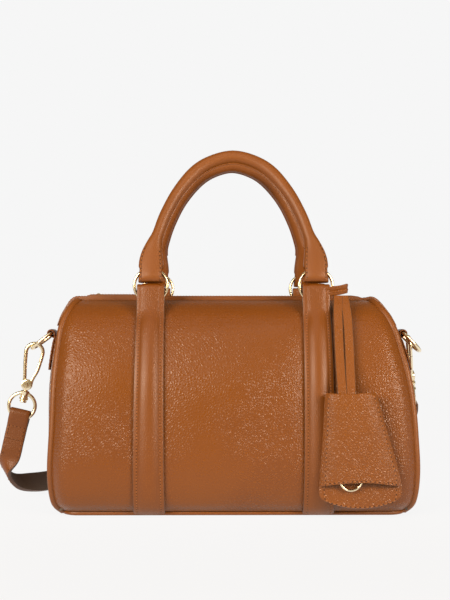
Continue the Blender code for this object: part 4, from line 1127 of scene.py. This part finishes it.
def handle(face, name, node):
    """A rolled handle with a stitched seam along its inner side, flattened into folded tabs."""
    right = [Vector(mark) for mark in handle_route()]
    left = [Vector((-mark.x, mark.y, mark.z, mark.w)) for mark in reversed(right[:-1])]
    marks = smooth_line(right + left, 6)
    place = Matrix.Translation((0, face * RING_Y, handle_pivot()))
    place = place @ Matrix.Rotation(math.radians(HANDLE_LEAN) * face, 4, "X")
    sides = 40
    rings = []
    edge_rows = [[], []]
    seam = []
    for i, mark in enumerate(marks):
        before = marks[max(i - 1, 0)]
        after = marks[min(i + 1, len(marks) - 1)]
        run = Vector((after.x - before.x, after.y - before.y)).normalized()
        flatness = min(max((mark.z - mark.w) / TAB_WIDTH * 2, 0), 1)
        power = 1 - 0.55 * flatness
        ring = []
        for k in range(sides):
            turn = 2 * math.pi * (k + 0.5) / sides
            a = math.copysign(abs(math.cos(turn)) ** power, math.cos(turn)) * mark.z / 2
            b = math.copysign(abs(math.sin(turn)) ** power, math.sin(turn)) * mark.w / 2
            ridge = math.exp(-((a / (mark.z / 2)) / 0.34) ** 4) * flatness * 0.10
            rim = 1 - flatness * 0.16 * (abs(a) / (mark.z / 2)) ** 6
            b *= rim + ridge
            wave = noise.noise(Vector((mark.x * 60, mark.y * 60, turn * 1.2))) * 0.18 * MM * (1 - flatness)
            b += math.copysign(wave, b)
            ring.append(place @ Vector((mark.x + run.y * a, b, mark.y - run.x * a)))
        rings.append(ring)
        if flatness > 0.45:
            for row, way in ((0, -1), (1, 1)):
                y = mark.w / 2 * (1 - 0.16 * 0.78 ** 6)
                point = place @ Vector((mark.x + run.y * mark.z / 2 * 0.78 * way, face * y * 0.985,
                    mark.y - run.x * mark.z / 2 * 0.78 * way))
                edge_rows[row].append((point, i < len(marks) / 2))
        else:
            seam.append(place @ Vector((mark.x - run.y * mark.z * 0.5 * inner_way(mark, run), 0,
                mark.y + run.x * mark.z * 0.5 * inner_way(mark, run))))
    thing = loft(name, rings, [HANDLE_LEATHER], "front_handle" if face < 0 else "rear_handle")
    slot = TAB_THICKNESS / 2 - LOOP_LEATHER
    reach = (RING_OUTER / 2) - (handle_pivot() - RING_Z) + 0.8 * MM
    floor = TAB_DROP - LOOP_LEATHER
    outline = [(-slot * 0.45, -floor), (slot * 0.45, -floor), (slot, -floor * 0.4), (slot, reach * 0.6)]
    outline += [(slot * 0.7, reach), (-slot * 0.7, reach), (-slot, reach * 0.6), (-slot, -floor * 0.4)]
    for side in (-1, 1):
        ends = []
        for x in (-TAB_WIDTH * 0.7, TAB_WIDTH * 0.7):
            ends.append([place @ Vector((side * WEB_SPACING / 2 + x, y, z)) for y, z in outline])
        tool = loft(f"{name}_slot_{side}", ends, [EDGE], None)
        step = thing.modifiers.new("slot", "BOOLEAN")
        step.object = tool
        step.solver = "EXACT"
        apply_modifiers(thing)
        bpy.data.objects.remove(tool, do_unlink=True)
    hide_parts(node)
    out = place.to_3x3() @ Vector((0, face, 0))
    rows = []
    for row in edge_rows:
        for right_side in (True, False):
            line = [p for p, flag in row if flag == right_side]
            if len(line) > 2:
                rows.append((line, tuple(out)))
    thread = stitches(f"{name}_stitches", rows, "front_handle" if face < 0 else "rear_handle", 2.7 * MM,
        2.0 * MM, 0.3 * MM)
    ridge = tube(f"{name}_seam", seam, 0.75 * MM, PIPING_LEATHER,
        "front_handle" if face < 0 else "rear_handle", 8)


def inner_way(mark, run):
    """1 or -1, whichever points from the handle's line to the inside of its arch."""
    side = Vector((run.y, -run.x))
    inward = Vector((-mark.x, 60 * MM - mark.y))
    return -1 if side.dot(inward) > 0 else 1


def apply_modifiers(thing):
    graph = bpy.context.evaluated_depsgraph_get()
    mesh = bpy.data.meshes.new_from_object(thing.evaluated_get(graph))
    thing.modifiers.clear()
    old = thing.data
    thing.data = mesh
    bpy.data.meshes.remove(old)


def make_carry():
    for face, face_name in ((-1, "front"), (1, "rear")):
        for side, side_name in ((-1, "left"), (1, "right")):
            nodes = (f"{face_name}_{side_name}_strap", f"{face_name}_{side_name}_strap_loop")
            strap(side, face, f"{face_name}_{side_name}_web", nodes)
            o_ring(side, face, f"{face_name}_{side_name}_o_ring", f"{face_name}_{side_name}_ring")
        handle(face, f"{face_name}_grip", f"{face_name}_handle")


# Ends: tabs, D-rings, hooks and strap ends

def bar_place():
    height = TAB_TOP - BAR_DROP
    return end_skin(height) + BAR_STANDOFF + D_WIRE / 2 + GAP + LOOP_LEATHER, height


def end_tab(side, name, node):
    """A folded leather tab on the end panel, with a box of stitches under the D-ring's bar."""
    bar = bar_place()
    outer = D_WIRE / 2 + GAP + LOOP_LEATHER
    bottom = TAB_TOP - END_TAB_LENGTH
    heights = [bottom + (bar[1] - 3 * MM - bottom) * k / 10 for k in range(11)]
    line = [(end_skin(z) + GAP + 2.2 * MM, z) for z in heights]
    line += [(bar[0] + (outer - 0.7 * MM) * math.cos(a), bar[1] + (outer - 0.7 * MM) * math.sin(a))
             for a in (math.radians(-20 + 200 * k / 10) for k in range(11))]
    line += [(end_skin(z) + GAP + 0.7 * MM, z) for z in reversed(heights[3:-1])]
    half = END_TAB_WIDTH / 2
    rings = []
    for i, (x, z) in enumerate(line):
        before = line[max(i - 1, 0)]
        after = line[min(i + 1, len(line) - 1)]
        run = Vector((after[0] - before[0], after[1] - before[1])).normalized()
        out = Vector((run.y, -run.x)) * 0.7 * MM
        ring = []
        for share, rise in TAB_ACROSS:
            ring.append(Vector((side * (x + out.x * rise) + slouch(z), half * share, z + out.y * rise)))
        rings.append(ring)
    thing = loft(name, rings, [STRAP_LEATHER], "bag")
    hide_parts(node)
    rows = []
    face = leaned([(side * (end_skin(z) + GAP + 2.95 * MM), z) for z in heights[1:-1]])
    for y in (-half * 0.72, half * 0.72):
        rows.append(([Vector((x, y, z)) for x, z in face], (side, 0, 0)))
    for x, z in (face[0], face[-2]):
        rows.append(([Vector((x, y * half * 0.7, z)) for y in (-1, 0, 1)], (side, 0, 0)))
    stitches(f"{name}_stitches", rows, "bag", 2.8 * MM, 2.0 * MM, 0.28 * MM)


def on_d_ring(side, tilt, reach, y):
    bar = bar_place()
    turn = math.radians(tilt)
    x = side * (bar[0] + reach * math.cos(turn)) + slouch(bar[1])
    return Vector((x, y, bar[1] - reach * math.sin(turn)))


def d_ring(side, tilt, name, node):
    bow = D_REACH - D_HALF_WIDTH
    marks = [(0, 0), (0, D_HALF_WIDTH * 0.5), (0.15 * MM, D_HALF_WIDTH * 0.8),
        (1.1 * MM, D_HALF_WIDTH * 0.96)]
    marks += [(3.2 * MM, D_HALF_WIDTH), (6 * MM, D_HALF_WIDTH)] + arc((bow, 0), D_HALF_WIDTH, 84, -84, 24)
    marks += [(6 * MM, -D_HALF_WIDTH), (3.2 * MM, -D_HALF_WIDTH), (1.1 * MM, -D_HALF_WIDTH * 0.96)]
    marks += [(0.15 * MM, -D_HALF_WIDTH * 0.8), (0, -D_HALF_WIDTH * 0.5)]
    points = [on_d_ring(side, tilt, reach, y) for reach, y in marks]
    thing = tube(name, points, D_WIRE / 2, GOLD, node, 16, True, Vector((0, 0.3, 1)))
    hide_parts(node)


def hook_frame(origin, out, up):
    across = up.cross(out)
    matrix = Matrix((out, across, up)).transposed().to_4x4()
    matrix.translation = origin
    return matrix


def hook_place(side):
    if side < 0:
        lean = math.radians(LEFT_HOOK_LEAN)
        out = Vector((-math.cos(lean), 0, math.sin(lean)))
        up = Vector((math.sin(lean), 0, math.cos(lean)))
        return hook_frame(on_d_ring(side, LEFT_TILT, D_REACH, 0) - out * 2 * MM, out, up)
    lean = math.radians(RIGHT_HOOK_LEAN)
    out = Vector((0, math.cos(lean), math.sin(lean)))
    up = Vector((-math.tan(math.radians(RIGHT_HOOK_OUT)), -math.sin(lean), math.cos(lean))).normalized()
    return hook_frame(on_d_ring(side, RIGHT_TILT, RIGHT_HOOK_REACH, D_HALF_WIDTH) + up * 0.5 * MM, out, up)


def snap_hook(matrix, prefix):
    """A pear-shaped snap hook with a riveted knuckle, a gate and a swivel eye."""
    wire = HOOK_WIRE / 2
    bend = HOOK_WIDTH / 2 - wire
    crown = HOOK_CROWN
    knuckle = crown + HOOK_WIDTH / 2 - HOOK_LENGTH + KNUCKLE_RADIUS
    nose = crown - NOSE_LENGTH
    body = f"{prefix}_hook"
    marks = [(bend * 0.36, knuckle), (bend * 0.46, knuckle + 5 * MM), (bend * 0.76, knuckle + 14 * MM)]
    marks += arc((0, crown), bend, -12, 180, 12) + [(-bend * 0.96, nose)]
    line = smooth_line([(x, 0, z) for x, z in marks], 4)
    swell = [math.sin(math.pi * min(i / len(line) * 1.15, 1)) for i in range(len(line))]
    radii = [wire * (0.88 + 0.18 * rise) for rise in swell]
    bow = tube(f"{prefix}_bow", [matrix @ p for p in line], radii, GOLD, body, 16, up=matrix.col[1].xyz)
    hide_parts(body)
    side_on = matrix @ Matrix.Translation((0, 0, knuckle)) @ Matrix.Rotation(math.radians(90), 4, "X")
    half = KNUCKLE_WIDTH / 2
    rim = KNUCKLE_RADIUS
    profile = [(0, -half * 1.22), (1.0 * MM, -half * 1.2), (1.35 * MM, -half * 1.02),
        (1.5 * MM, -half * 0.96), (rim * 0.82, -half)]
    profile += [(rim * 0.95, -half * 0.9), (rim, -half * 0.7), (rim, half * 0.7),
        (rim * 0.95, half * 0.9), (rim * 0.82, half)]
    profile += [(1.5 * MM, half * 0.96), (1.35 * MM, half * 1.02), (1.0 * MM, half * 1.2), (0, half * 1.22)]
    thing = turned(f"{prefix}_knuckle", profile, GOLD, body, side_on, 36)
    low = knuckle - KNUCKLE_RADIUS
    boss_high = low - GAP
    boss_low = boss_high - BOSS_LENGTH
    stud = [(0, knuckle - 3 * MM), (STUD_RADIUS, knuckle - 3 * MM), (STUD_RADIUS, boss_low - GAP)]
    stud += [(STUD_RADIUS + 1.0 * MM, boss_low - GAP - 0.1 * MM),
        (STUD_RADIUS + 1.1 * MM, boss_low - GAP - 0.8 * MM)]
    stud += [(STUD_RADIUS + 0.7 * MM, boss_low - GAP - 1.4 * MM), (0, boss_low - GAP - 1.6 * MM)]
    turned(f"{prefix}_stud", stud, GOLD, body, matrix, 24)
    bar = [(-2.6 * MM, knuckle + 0.8 * MM), (-3.1 * MM, knuckle + 5 * MM),
        (-bend * 0.82, knuckle + 11 * MM), (-bend * 0.94, nose - 0.5 * MM)]
    rings = []
    for place, run, way, rise in frames_along(smooth_line([(x, 0, z) for x, z in bar], 4), Vector((0, 1, 0))):
        ring = []
        for k in range(12):
            a = 2 * math.pi * k / 12
            across = math.copysign(abs(math.cos(a)) ** 0.6, math.cos(a)) * 1.25 * MM
            through = math.copysign(abs(math.sin(a)) ** 0.6, math.sin(a)) * 1.15 * MM
            ring.append(matrix @ (place + way * across + rise * through))
        rings.append(ring)
    gate = loft(f"{prefix}_gate", rings, [GOLD], f"{prefix}_hook_gate")
    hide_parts(f"{prefix}_hook_gate")
    radius = (EYE_OUTER - EYE_WIRE) / 2
    middle = boss_high - 1.9 * MM - radius
    turns = [2 * math.pi * k / 64 for k in range(64)]
    points = [matrix @ Vector((radius * math.cos(a), 0, middle + radius * math.sin(a))) for a in turns]
    eye = tube(f"{prefix}_eye", points, EYE_WIRE / 2, GOLD, f"{prefix}_hook_eye", 16, True, matrix.col[1].xyz)
    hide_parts(f"{prefix}_hook_eye")
    r = BOSS_RADIUS
    boss = [(STUD_RADIUS + 0.1 * MM, boss_low), (r * 0.8, boss_low), (r, boss_low + 0.6 * MM),
        (r, boss_low + 1.6 * MM)]
    boss += [(r * 0.86, boss_low + 2.2 * MM), (r * 0.86, boss_high - 2.2 * MM),
        (r, boss_high - 1.6 * MM), (r, boss_high - 0.6 * MM)]
    boss += [(r * 0.8, boss_high), (STUD_RADIUS + 0.1 * MM, boss_high)]
    turned(f"{prefix}_boss", boss, GOLD, f"{prefix}_hook_eye", matrix, 28)
    return middle


def strap_end(matrix, middle, prefix):
    """The strap's end folded over the eye, sewn to itself with a box of stitches, with painted edges."""
    radius = (EYE_OUTER - EYE_WIRE) / 2
    reach = math.sqrt(radius ** 2 - (STRAP_WIDTH / 2) ** 2)
    slot = EYE_WIRE / 2 + 0.5 * MM
    mid = slot + STRAP_LAYER / 2
    crown = middle - reach + EYE_WIRE / 2 * radius / reach + GAP - slot
    low = middle - radius - EYE_WIRE / 2
    bottom = crown + slot + STRAP_LAYER - STRAP_END_LENGTH
    marks = [(-STRAP_LAYER / 2, bottom - 0.3 * MM), (-STRAP_LAYER / 2, bottom + 6 * MM),
        (-STRAP_LAYER / 2 - 0.15 * MM, low - 4 * MM)]
    marks += [(-mid * 0.85, low + 0.5 * MM)] + arc((0, crown), mid, 180, 0, 10)
    marks += [(mid * 0.85, low + 0.5 * MM), (STRAP_LAYER / 2 + 0.15 * MM, low - 4 * MM),
        (STRAP_LAYER / 2, bottom + 6 * MM)]
    marks += [(STRAP_LAYER / 2, bottom - 0.3 * MM)]
    line = smooth_line([(y, z, 0) for y, z in marks], 2)
    half = STRAP_WIDTH / 2
    rings = []
    for i, place in enumerate(line):
        before = line[max(i - 1, 0)]
        after = line[min(i + 1, len(line) - 1)]
        run = (after - before).normalized()
        out = Vector((-run.y, run.x, 0)) * STRAP_LAYER / 2
        ring = []
        for share, rise in STRAP_END_ACROSS:
            p = place + out * rise
            ring.append(matrix @ Vector((half * share, p.x, p.y)))
        rings.append(ring)
    name = f"{prefix}_fold"
    thing = loft(name, rings, [STRAP_LEATHER, EDGE], f"{prefix}_hook_eye",
        places=[1, 1, 0, 0, 0, 0, 1, 1, 1, 1, 1])
    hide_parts(f"{prefix}_strap_end")
    rows = []
    for face in (-1, 1):
        y = face * (STRAP_LAYER + 0.12 * MM)
        out = tuple(matrix.to_3x3() @ Vector((0, face, 0)))
        low_z = bottom + 0.6 * MM
        high_z = low - 4.5 * MM
        for share in (-0.78, 0.78):
            heights = (low_z, (low_z + high_z) / 2, high_z)
            rows.append(([matrix @ Vector((half * share, y, z)) for z in heights], out))
        rows.append(([matrix @ Vector((half * share, y * 1.04, high_z)) for share in (-0.75, 0, 0.75)], out))
    stitches(f"{name}_stitches", rows, f"{prefix}_hook_eye", 2.6 * MM, 1.9 * MM, 0.27 * MM)
    return bottom


def strap_marks(left, right):
    """(place, width direction) marks of the shoulder strap on the CAD's way, as a flat strap bends."""
    edge = STRAP_WIDTH / 2 + 0.3 * MM
    upright = Vector((0, 0, -1))
    side = BODY_HALF_LENGTH
    shares = (0.35 * MM - STRAP_GAP, -STRAP_GAP - 3 * MM, -12 * MM)
    marks = []
    for share in shares:
        marks.append((left[0] @ Vector((0, 0, left[1] + share)), left[0].to_3x3() @ Vector((-1, 0, 0))))
    for x, y, z, across in (
        (40.5, 3, 23, (0.5, -0.8, -0.3)), (35, 14, 12.5, (0.25, -0.85, -0.45)),
        (24.5, 32, 9, (0.1, -0.6, -0.8)),
        (13.5, 50, 8, (0.1, -0.2, -1)),
    ):
        marks.append((Vector((-side - x * MM, y * MM, z * MM)), Vector(across)))
    turn = side - 23.5 * MM
    near = BODY_HALF_DEPTH + STRAP_CLEARANCE
    floor = [(-turn - 22 * MM, near - 9 * MM)]
    for k in range(3):
        way = 1 - 2 * (k % 2)
        y = near + k * STRAP_PASS
        floor += [(way * share * turn, y) for share in (-1, -0.5, 0, 0.5, 1)]
        if k < 2:
            floor += [(way * (turn + 13 * MM), y + 1.7 * MM), (way * (turn + 18 * MM), y + STRAP_PASS / 2)]
            floor += [(way * (turn + 13 * MM), y + STRAP_PASS - 1.7 * MM)]
    floor += [(turn + 24 * MM, y - 10 * MM), (turn + 38 * MM, y - 32 * MM)]
    marks += [(Vector((x, y, edge)), upright) for x, y in floor]
    marks.append((Vector((side + 18.5 * MM, BODY_HALF_DEPTH - 7 * MM, 14 * MM)), Vector((0, -0.47, -0.88))))
    marks.append((Vector((side + 16 * MM, BODY_HALF_DEPTH - 23 * MM, 27 * MM)), Vector((0, -0.77, -0.64))))
    for share in reversed(shares):
        marks.append((right[0] @ Vector((0, 0, right[1] + share)), right[0].to_3x3() @ Vector((-1, 0, 0))))
    return marks


def shoulder_strap(left, right):
    marks = strap_marks(left, right)
    places = smooth_line([place for place, across in marks], 10)
    widths = smooth_line([across for place, across in marks], 10)
    rings = []
    rows = [[], []]
    half = STRAP_WIDTH / 2
    thick = STRAP_THICKNESS / 2
    for i, place in enumerate(places):
        run = (places[min(i + 1, len(places) - 1)] - places[max(i - 1, 0)]).normalized()
        across = (widths[i] - run * widths[i].dot(run)).normalized()
        rise = run.cross(across).normalized()
        ring = []
        for share, lift in STRAP_ACROSS:
            ring.append(place + across * half * share + rise * thick * lift)
        rings.append(ring)
        for row, share in ((0, -0.78), (1, 0.78)):
            rows[row].append((place + across * half * share + rise * thick * 0.98, rise))
    strap_piece = loft("long_strap", rings, [STRAP_LEATHER, EDGE, SUEDE], "bag",
        places=[1, 1, 0, 0, 0, 0, 1, 1, 1, 2, 2, 1])
    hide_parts("shoulder_strap")
    lines = []
    for row in rows:
        for first in range(0, len(row) - 1, 10):
            part = row[first:first + 11]
            lines.append(([p for p, rise in part], nearest_way(part)))
    thread = stitches("long_strap_stitches", lines, "bag", 3.2 * MM, 2.2 * MM, 0.26 * MM)
    length = sum((b - a).length for a, b in zip(places, places[1:]))


def nearest_way(part):
    def out(place):
        return min(part, key=lambda q: (q[0] - place).length_squared)[1]
    return out


def make_ends():
    stops = []
    for side, name, tilt in ((-1, "left", LEFT_TILT), (1, "right", RIGHT_TILT)):
        end_tab(side, f"{name}_tab", f"{name}_end_tab")
        d_ring(side, tilt, f"{name}_dee", f"{name}_d_ring")
        matrix = hook_place(side)
        stops.append((matrix, strap_end(matrix, snap_hook(matrix, name), name)))
    shoulder_strap(*stops)


# Key bell

def key_knot():
    """The lace's knot: two flat turns round the ring's side, drawn tight."""
    ring_x = WEB_SPACING / 2 + (RING_OUTER - RING_WIRE) / 2
    near = ring_x - HITCH_INNER
    far = ring_x + HITCH_OUTER
    for index, (low, high) in enumerate(((HITCH_LOW, HITCH_LOW + 3.3 * MM),
            (HITCH_LOW + 3.0 * MM, HITCH_LOW + HITCH_HEIGHT))):
        points = []
        for k in range(36):
            a = 2 * math.pi * k / 36
            ca, sa = math.cos(a), math.sin(a)
            x = (near + far) / 2 + (far - near - 1.8 * MM) / 2 * math.copysign(abs(ca) ** 0.7, ca)
            y = -RING_Y + 2.75 * MM * math.copysign(abs(sa) ** 0.7, sa)
            points.append(Vector((x, y, (low + high) / 2 + 1.5 * MM * ca)))
        rings = []
        for place, run, way, rise in frames_along(points, Vector((0, 0, 1)), True):
            ring = []
            for share, lift in KNOT_ACROSS:
                ring.append(place + rise * (high - low) / 2 * share + way * 0.75 * MM * lift)
            rings.append(ring)
        thing = loft(f"key_knot_{index}", rings, [BELL_LEATHER], "front_rings", cyclic=True)
        if index == 0:
            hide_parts("key_hitch")


def key_laces():
    """Two flat strands that leave the knot one over the other and run side by side into the bell."""
    for index, (shift, width) in enumerate(((-3.3 * MM, 6.2 * MM), (3.3 * MM, 6.2 * MM))):
        lift = -0.2 * MM if index else 0.15 * MM
        marks = [(-47.2, 146.9, 0.62), (-49.4, 143.6, 0.7), (-51.8, 140.4, 0.8), (-55.9, 133.5, 0.95),
            (-59.9, 125.0, 1.0)]
        marks += [(-63.8, 115, 1.02), (-67.8, 104, 1.0), (-72.2, 93.8, 0.95), (-76.2, 86.0, 0.9),
            (-78.0, 79.0, 0.85), (-78.1, 72, 0.7)]
        line = smooth_line([(LACE_X + shift * s, y * MM - lift, z * MM) for y, z, s in marks], 5)
        rings = []
        for i, (place, run, way, rise) in enumerate(frames_along(line, Vector((0, -1, 0.4)))):
            side = Vector((1, 0, 0))
            out = side.cross(run).normalized()
            ring = []
            for share, up in STRAND_ACROSS:
                twist = noise.noise(Vector((index * 7, 0, i * 0.12))) * 0.2 * MM
                ring.append(place + side * width / 2 * share + out * (0.75 * MM * up + twist * share))
            rings.append(ring)
        thing = loft(f"key_strand_{index}", rings, [BELL_LEATHER, EDGE], "key_bell",
            places=[1, 0, 0, 0, 0, 0, 1, 1, 0, 1])
        if index == 0:
            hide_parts("key_lace")


# The bell's rows: shares of its height from the top, at the middle and at the sides, then left and right
# shares of its width from the lace
BELL_ROWS = (
    (0, 0, -0.250, 0.350), (0.08, 0.08, -0.264, 0.392), (0.278, 0.291, -0.280, 0.475),
    (0.518, 0.531, -0.302, 0.575),
)
BACK_ROWS = BELL_ROWS + ((0.785, 0.745, -0.327, 0.658), (0.90, 0.84, -0.333, 0.668),
    (0.965, 0.90, -0.318, 0.652), (1, 0.938, -0.262, 0.592))
FRONT_ROWS = BELL_ROWS + ((0.705, 0.732, -0.32, 0.647), (0.765, 0.806, -0.32, 0.643))


def bell_leaf(rows, front, name, node):
    """One leaf of the bell, with a rounded edge and a row of stitches inside it."""
    marks = smooth_line([Vector((middle, side, left, right)) for middle, side, left, right in rows], 7)
    grid = []
    columns = 32
    for i, mark in enumerate(marks):
        row = []
        for k in range(columns + 1):
            u = 2 * k / columns - 1
            x = LACE_X + BELL_WIDTH * ((mark.z + mark.w) / 2 + (mark.w - mark.z) / 2 * u)
            z = BELL_TOP - BELL_HEIGHT * (mark.x + (mark.y - mark.x) * u * u)
            y = -BELL_BACK
            if front:
                y = -BELL_BACK - LEAF_THICKNESS - GAP - BELL_GAP * (1 - abs(u) ** 4)
            y += noise.noise(Vector((x * 40, z * 50, 3.0 + front))) * 0.35 * MM
            row.append(Vector((x, y, z)))
        grid.append(row)
    outer = [[p + Vector((0, -LEAF_THICKNESS, 0)) for p in row] for row in grid]
    for row in outer:
        for k in (0, columns):
            row[k].y += 0.5 * MM
    for k in range(columns + 1):
        outer[0][k].y += 0.4 * MM
        outer[-1][k].y += 0.5 * MM
    thing = leather_sheet(name, outer, lambda p: Vector((0, -1, 0)), LEAF_THICKNESS * 0.85,
        [BELL_LEATHER, SUEDE], "key_bell")
    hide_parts(node)
    sides = []
    inset = 2
    for k in (inset, columns - inset):
        sides.append([outer[i][k] for i in range(1, len(outer) - 2)])
    bottom = [outer[-4][k] for k in range(inset, columns - inset + 1)]
    rows_ = [(line, (0, -1, 0)) for line in (*sides, bottom)]
    stitches(f"{name}_stitches", rows_, "key_bell", 2.9 * MM, 1.9 * MM, 0.36 * MM)


def make_bell():
    key_knot()
    key_laces()
    bell_leaf(BACK_ROWS, False, "bell_back_leaf", "key_bell_back")
    bell_leaf(FRONT_ROWS, True, "bell_front_leaf", "key_bell_front")
    radius = (KEY_RING_OUTER - KEY_RING_WIRE) / 2
    middle = Vector((LACE_X + 2.5 * MM, -BELL_Y, KEY_RING_TOP - KEY_RING_WIRE / 2 - radius))
    points = []
    for k in range(97):
        a = math.radians(100) + 4 * math.pi * k / 96
        points.append(middle + Vector((radius * math.cos(a), (k / 96 - 0.5) * 1.0 * MM,
            radius * math.sin(a))))
    thing = tube("split_ring", points, KEY_RING_WIRE * 0.42, GOLD, "key_bell", 10, up=Vector((0, 1, 0)))
    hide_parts("key_ring")


# Slider

def make_slider():
    """Better metal on the CAD slider and puller."""
    for node in ("zip_slider", "zip_puller"):
        repaint(node, GOLD)
    repaint("lining", LINING)
    repaint("base_board", EDGE)


def repaint(node, material):
    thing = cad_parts[node]
    thing.data.materials.clear()
    thing.data.materials.append(material)


# Studio

def make_studio():
    scene = bpy.context.scene
    scene.view_settings.view_transform = "Standard"
    scene.view_settings.look = "None"
    scene.cycles.max_bounces = 8
    scene.cycles.use_denoising = True
    world = bpy.data.worlds.new("studio")
    world.use_nodes = True
    scene.world = world
    tree = world.node_tree
    way = tree.nodes.new("ShaderNodeTexCoord").outputs["Generated"]
    back = tree.nodes.new("ShaderNodeVectorMath")
    back.operation = "DOT_PRODUCT"
    back.inputs[1].default_value = (0, 1, 0)
    tree.links.new(way, back.inputs[0])
    mix = tree.nodes.new("ShaderNodeMix")
    mix.data_type = "RGBA"
    mix.inputs[6].default_value = (0.27, 0.23, 0.16, 1)
    mix.inputs[7].default_value = (0.922, 0.922, 0.922, 1)
    tree.links.new(Val(tree, back.outputs["Value"]).step(0.85, 0.93).source, mix.inputs[0])
    tree.links.new(mix.outputs[2], tree.nodes["Background"].inputs["Color"])
    bm = bmesh.new()
    bmesh.ops.create_grid(bm, x_segments=2, y_segments=2, size=6.0)
    mesh = bpy.data.meshes.new("floor")
    bm.to_mesh(mesh)
    bm.free()
    floor = bpy.data.objects.new("floor", mesh)
    floor.location.z = -0.0003
    scene.collection.objects.link(floor)
    material = bpy.data.materials.new("studio_floor")
    material.use_nodes = True
    tree = material.node_tree
    tree.nodes.remove(tree.nodes["Principled BSDF"])
    glow = tree.nodes.new("ShaderNodeEmission")
    place = tree.nodes.new("ShaderNodeSeparateXYZ")
    tree.links.new(tree.nodes.new("ShaderNodeTexCoord").outputs["Object"], place.inputs[0])
    shade = tree.nodes.new("ShaderNodeMix")
    shade.data_type = "RGBA"
    shade.inputs[6].default_value = (0.27, 0.23, 0.16, 1)
    back = Val(tree, place.outputs[1])
    bright = tree.nodes.new("ShaderNodeMix")
    bright.data_type = "RGBA"
    bright.inputs[6].default_value = (0.914, 0.914, 0.917, 1)
    bright.inputs[7].default_value = (0.966, 0.966, 0.967, 1)
    tree.links.new((back.step(-0.25, 0.1) * 0.75 + back.step(0.1, 2.2) * 0.25).source, bright.inputs[0])
    tree.links.new(bright.outputs[2], shade.inputs[7])
    tree.links.new(back.step(-0.55, -0.26).source, shade.inputs[0])
    tree.links.new(shade.outputs[2], glow.inputs["Color"])
    matt = tree.nodes.new("ShaderNodeBsdfDiffuse")
    matt.inputs["Color"].default_value = (0.8, 0.8, 0.8, 1)
    both = tree.nodes.new("ShaderNodeMixShader")
    both.inputs[0].default_value = 0.06
    tree.links.new(glow.outputs[0], both.inputs[1])
    tree.links.new(matt.outputs[0], both.inputs[2])
    tree.links.new(both.outputs[0], tree.nodes["Material Output"].inputs["Surface"])
    mesh.materials.append(material)
    for name, place, size, power, tint in (
        ("right_softbox", (0.82, -0.72, 0.38), 0.40, 7.5, (1, 0.84, 0.66)),
        ("left_softbox", (-0.78, -0.75, 0.38), 0.40, 7.5, (1, 0.84, 0.66)),
        ("left_window", (-0.56, -1.02, 0.58), 0.30, 7.5, (1, 0.82, 0.64)),
        ("right_window", (0.70, -0.98, 0.50), 0.30, 5.0, (1, 0.82, 0.64)),
        ("top_light", (0.0, -0.60, 1.1), 0.7, 2.0, (1, 0.94, 0.88)),
    ):
        light = bpy.data.lights.new(name, "AREA")
        light.size = size
        light.energy = power
        light.color = tint
        lamp = bpy.data.objects.new(name, light)
        scene.collection.objects.link(lamp)
        lamp.location = place
        way = Vector((0, 0, 0.1)) - Vector(place)
        lamp.rotation_euler = way.to_track_quat("-Z", "Y").to_euler()


make_ends()
make_body()
make_zip()
make_carry()
make_bell()
make_slider()
make_studio()
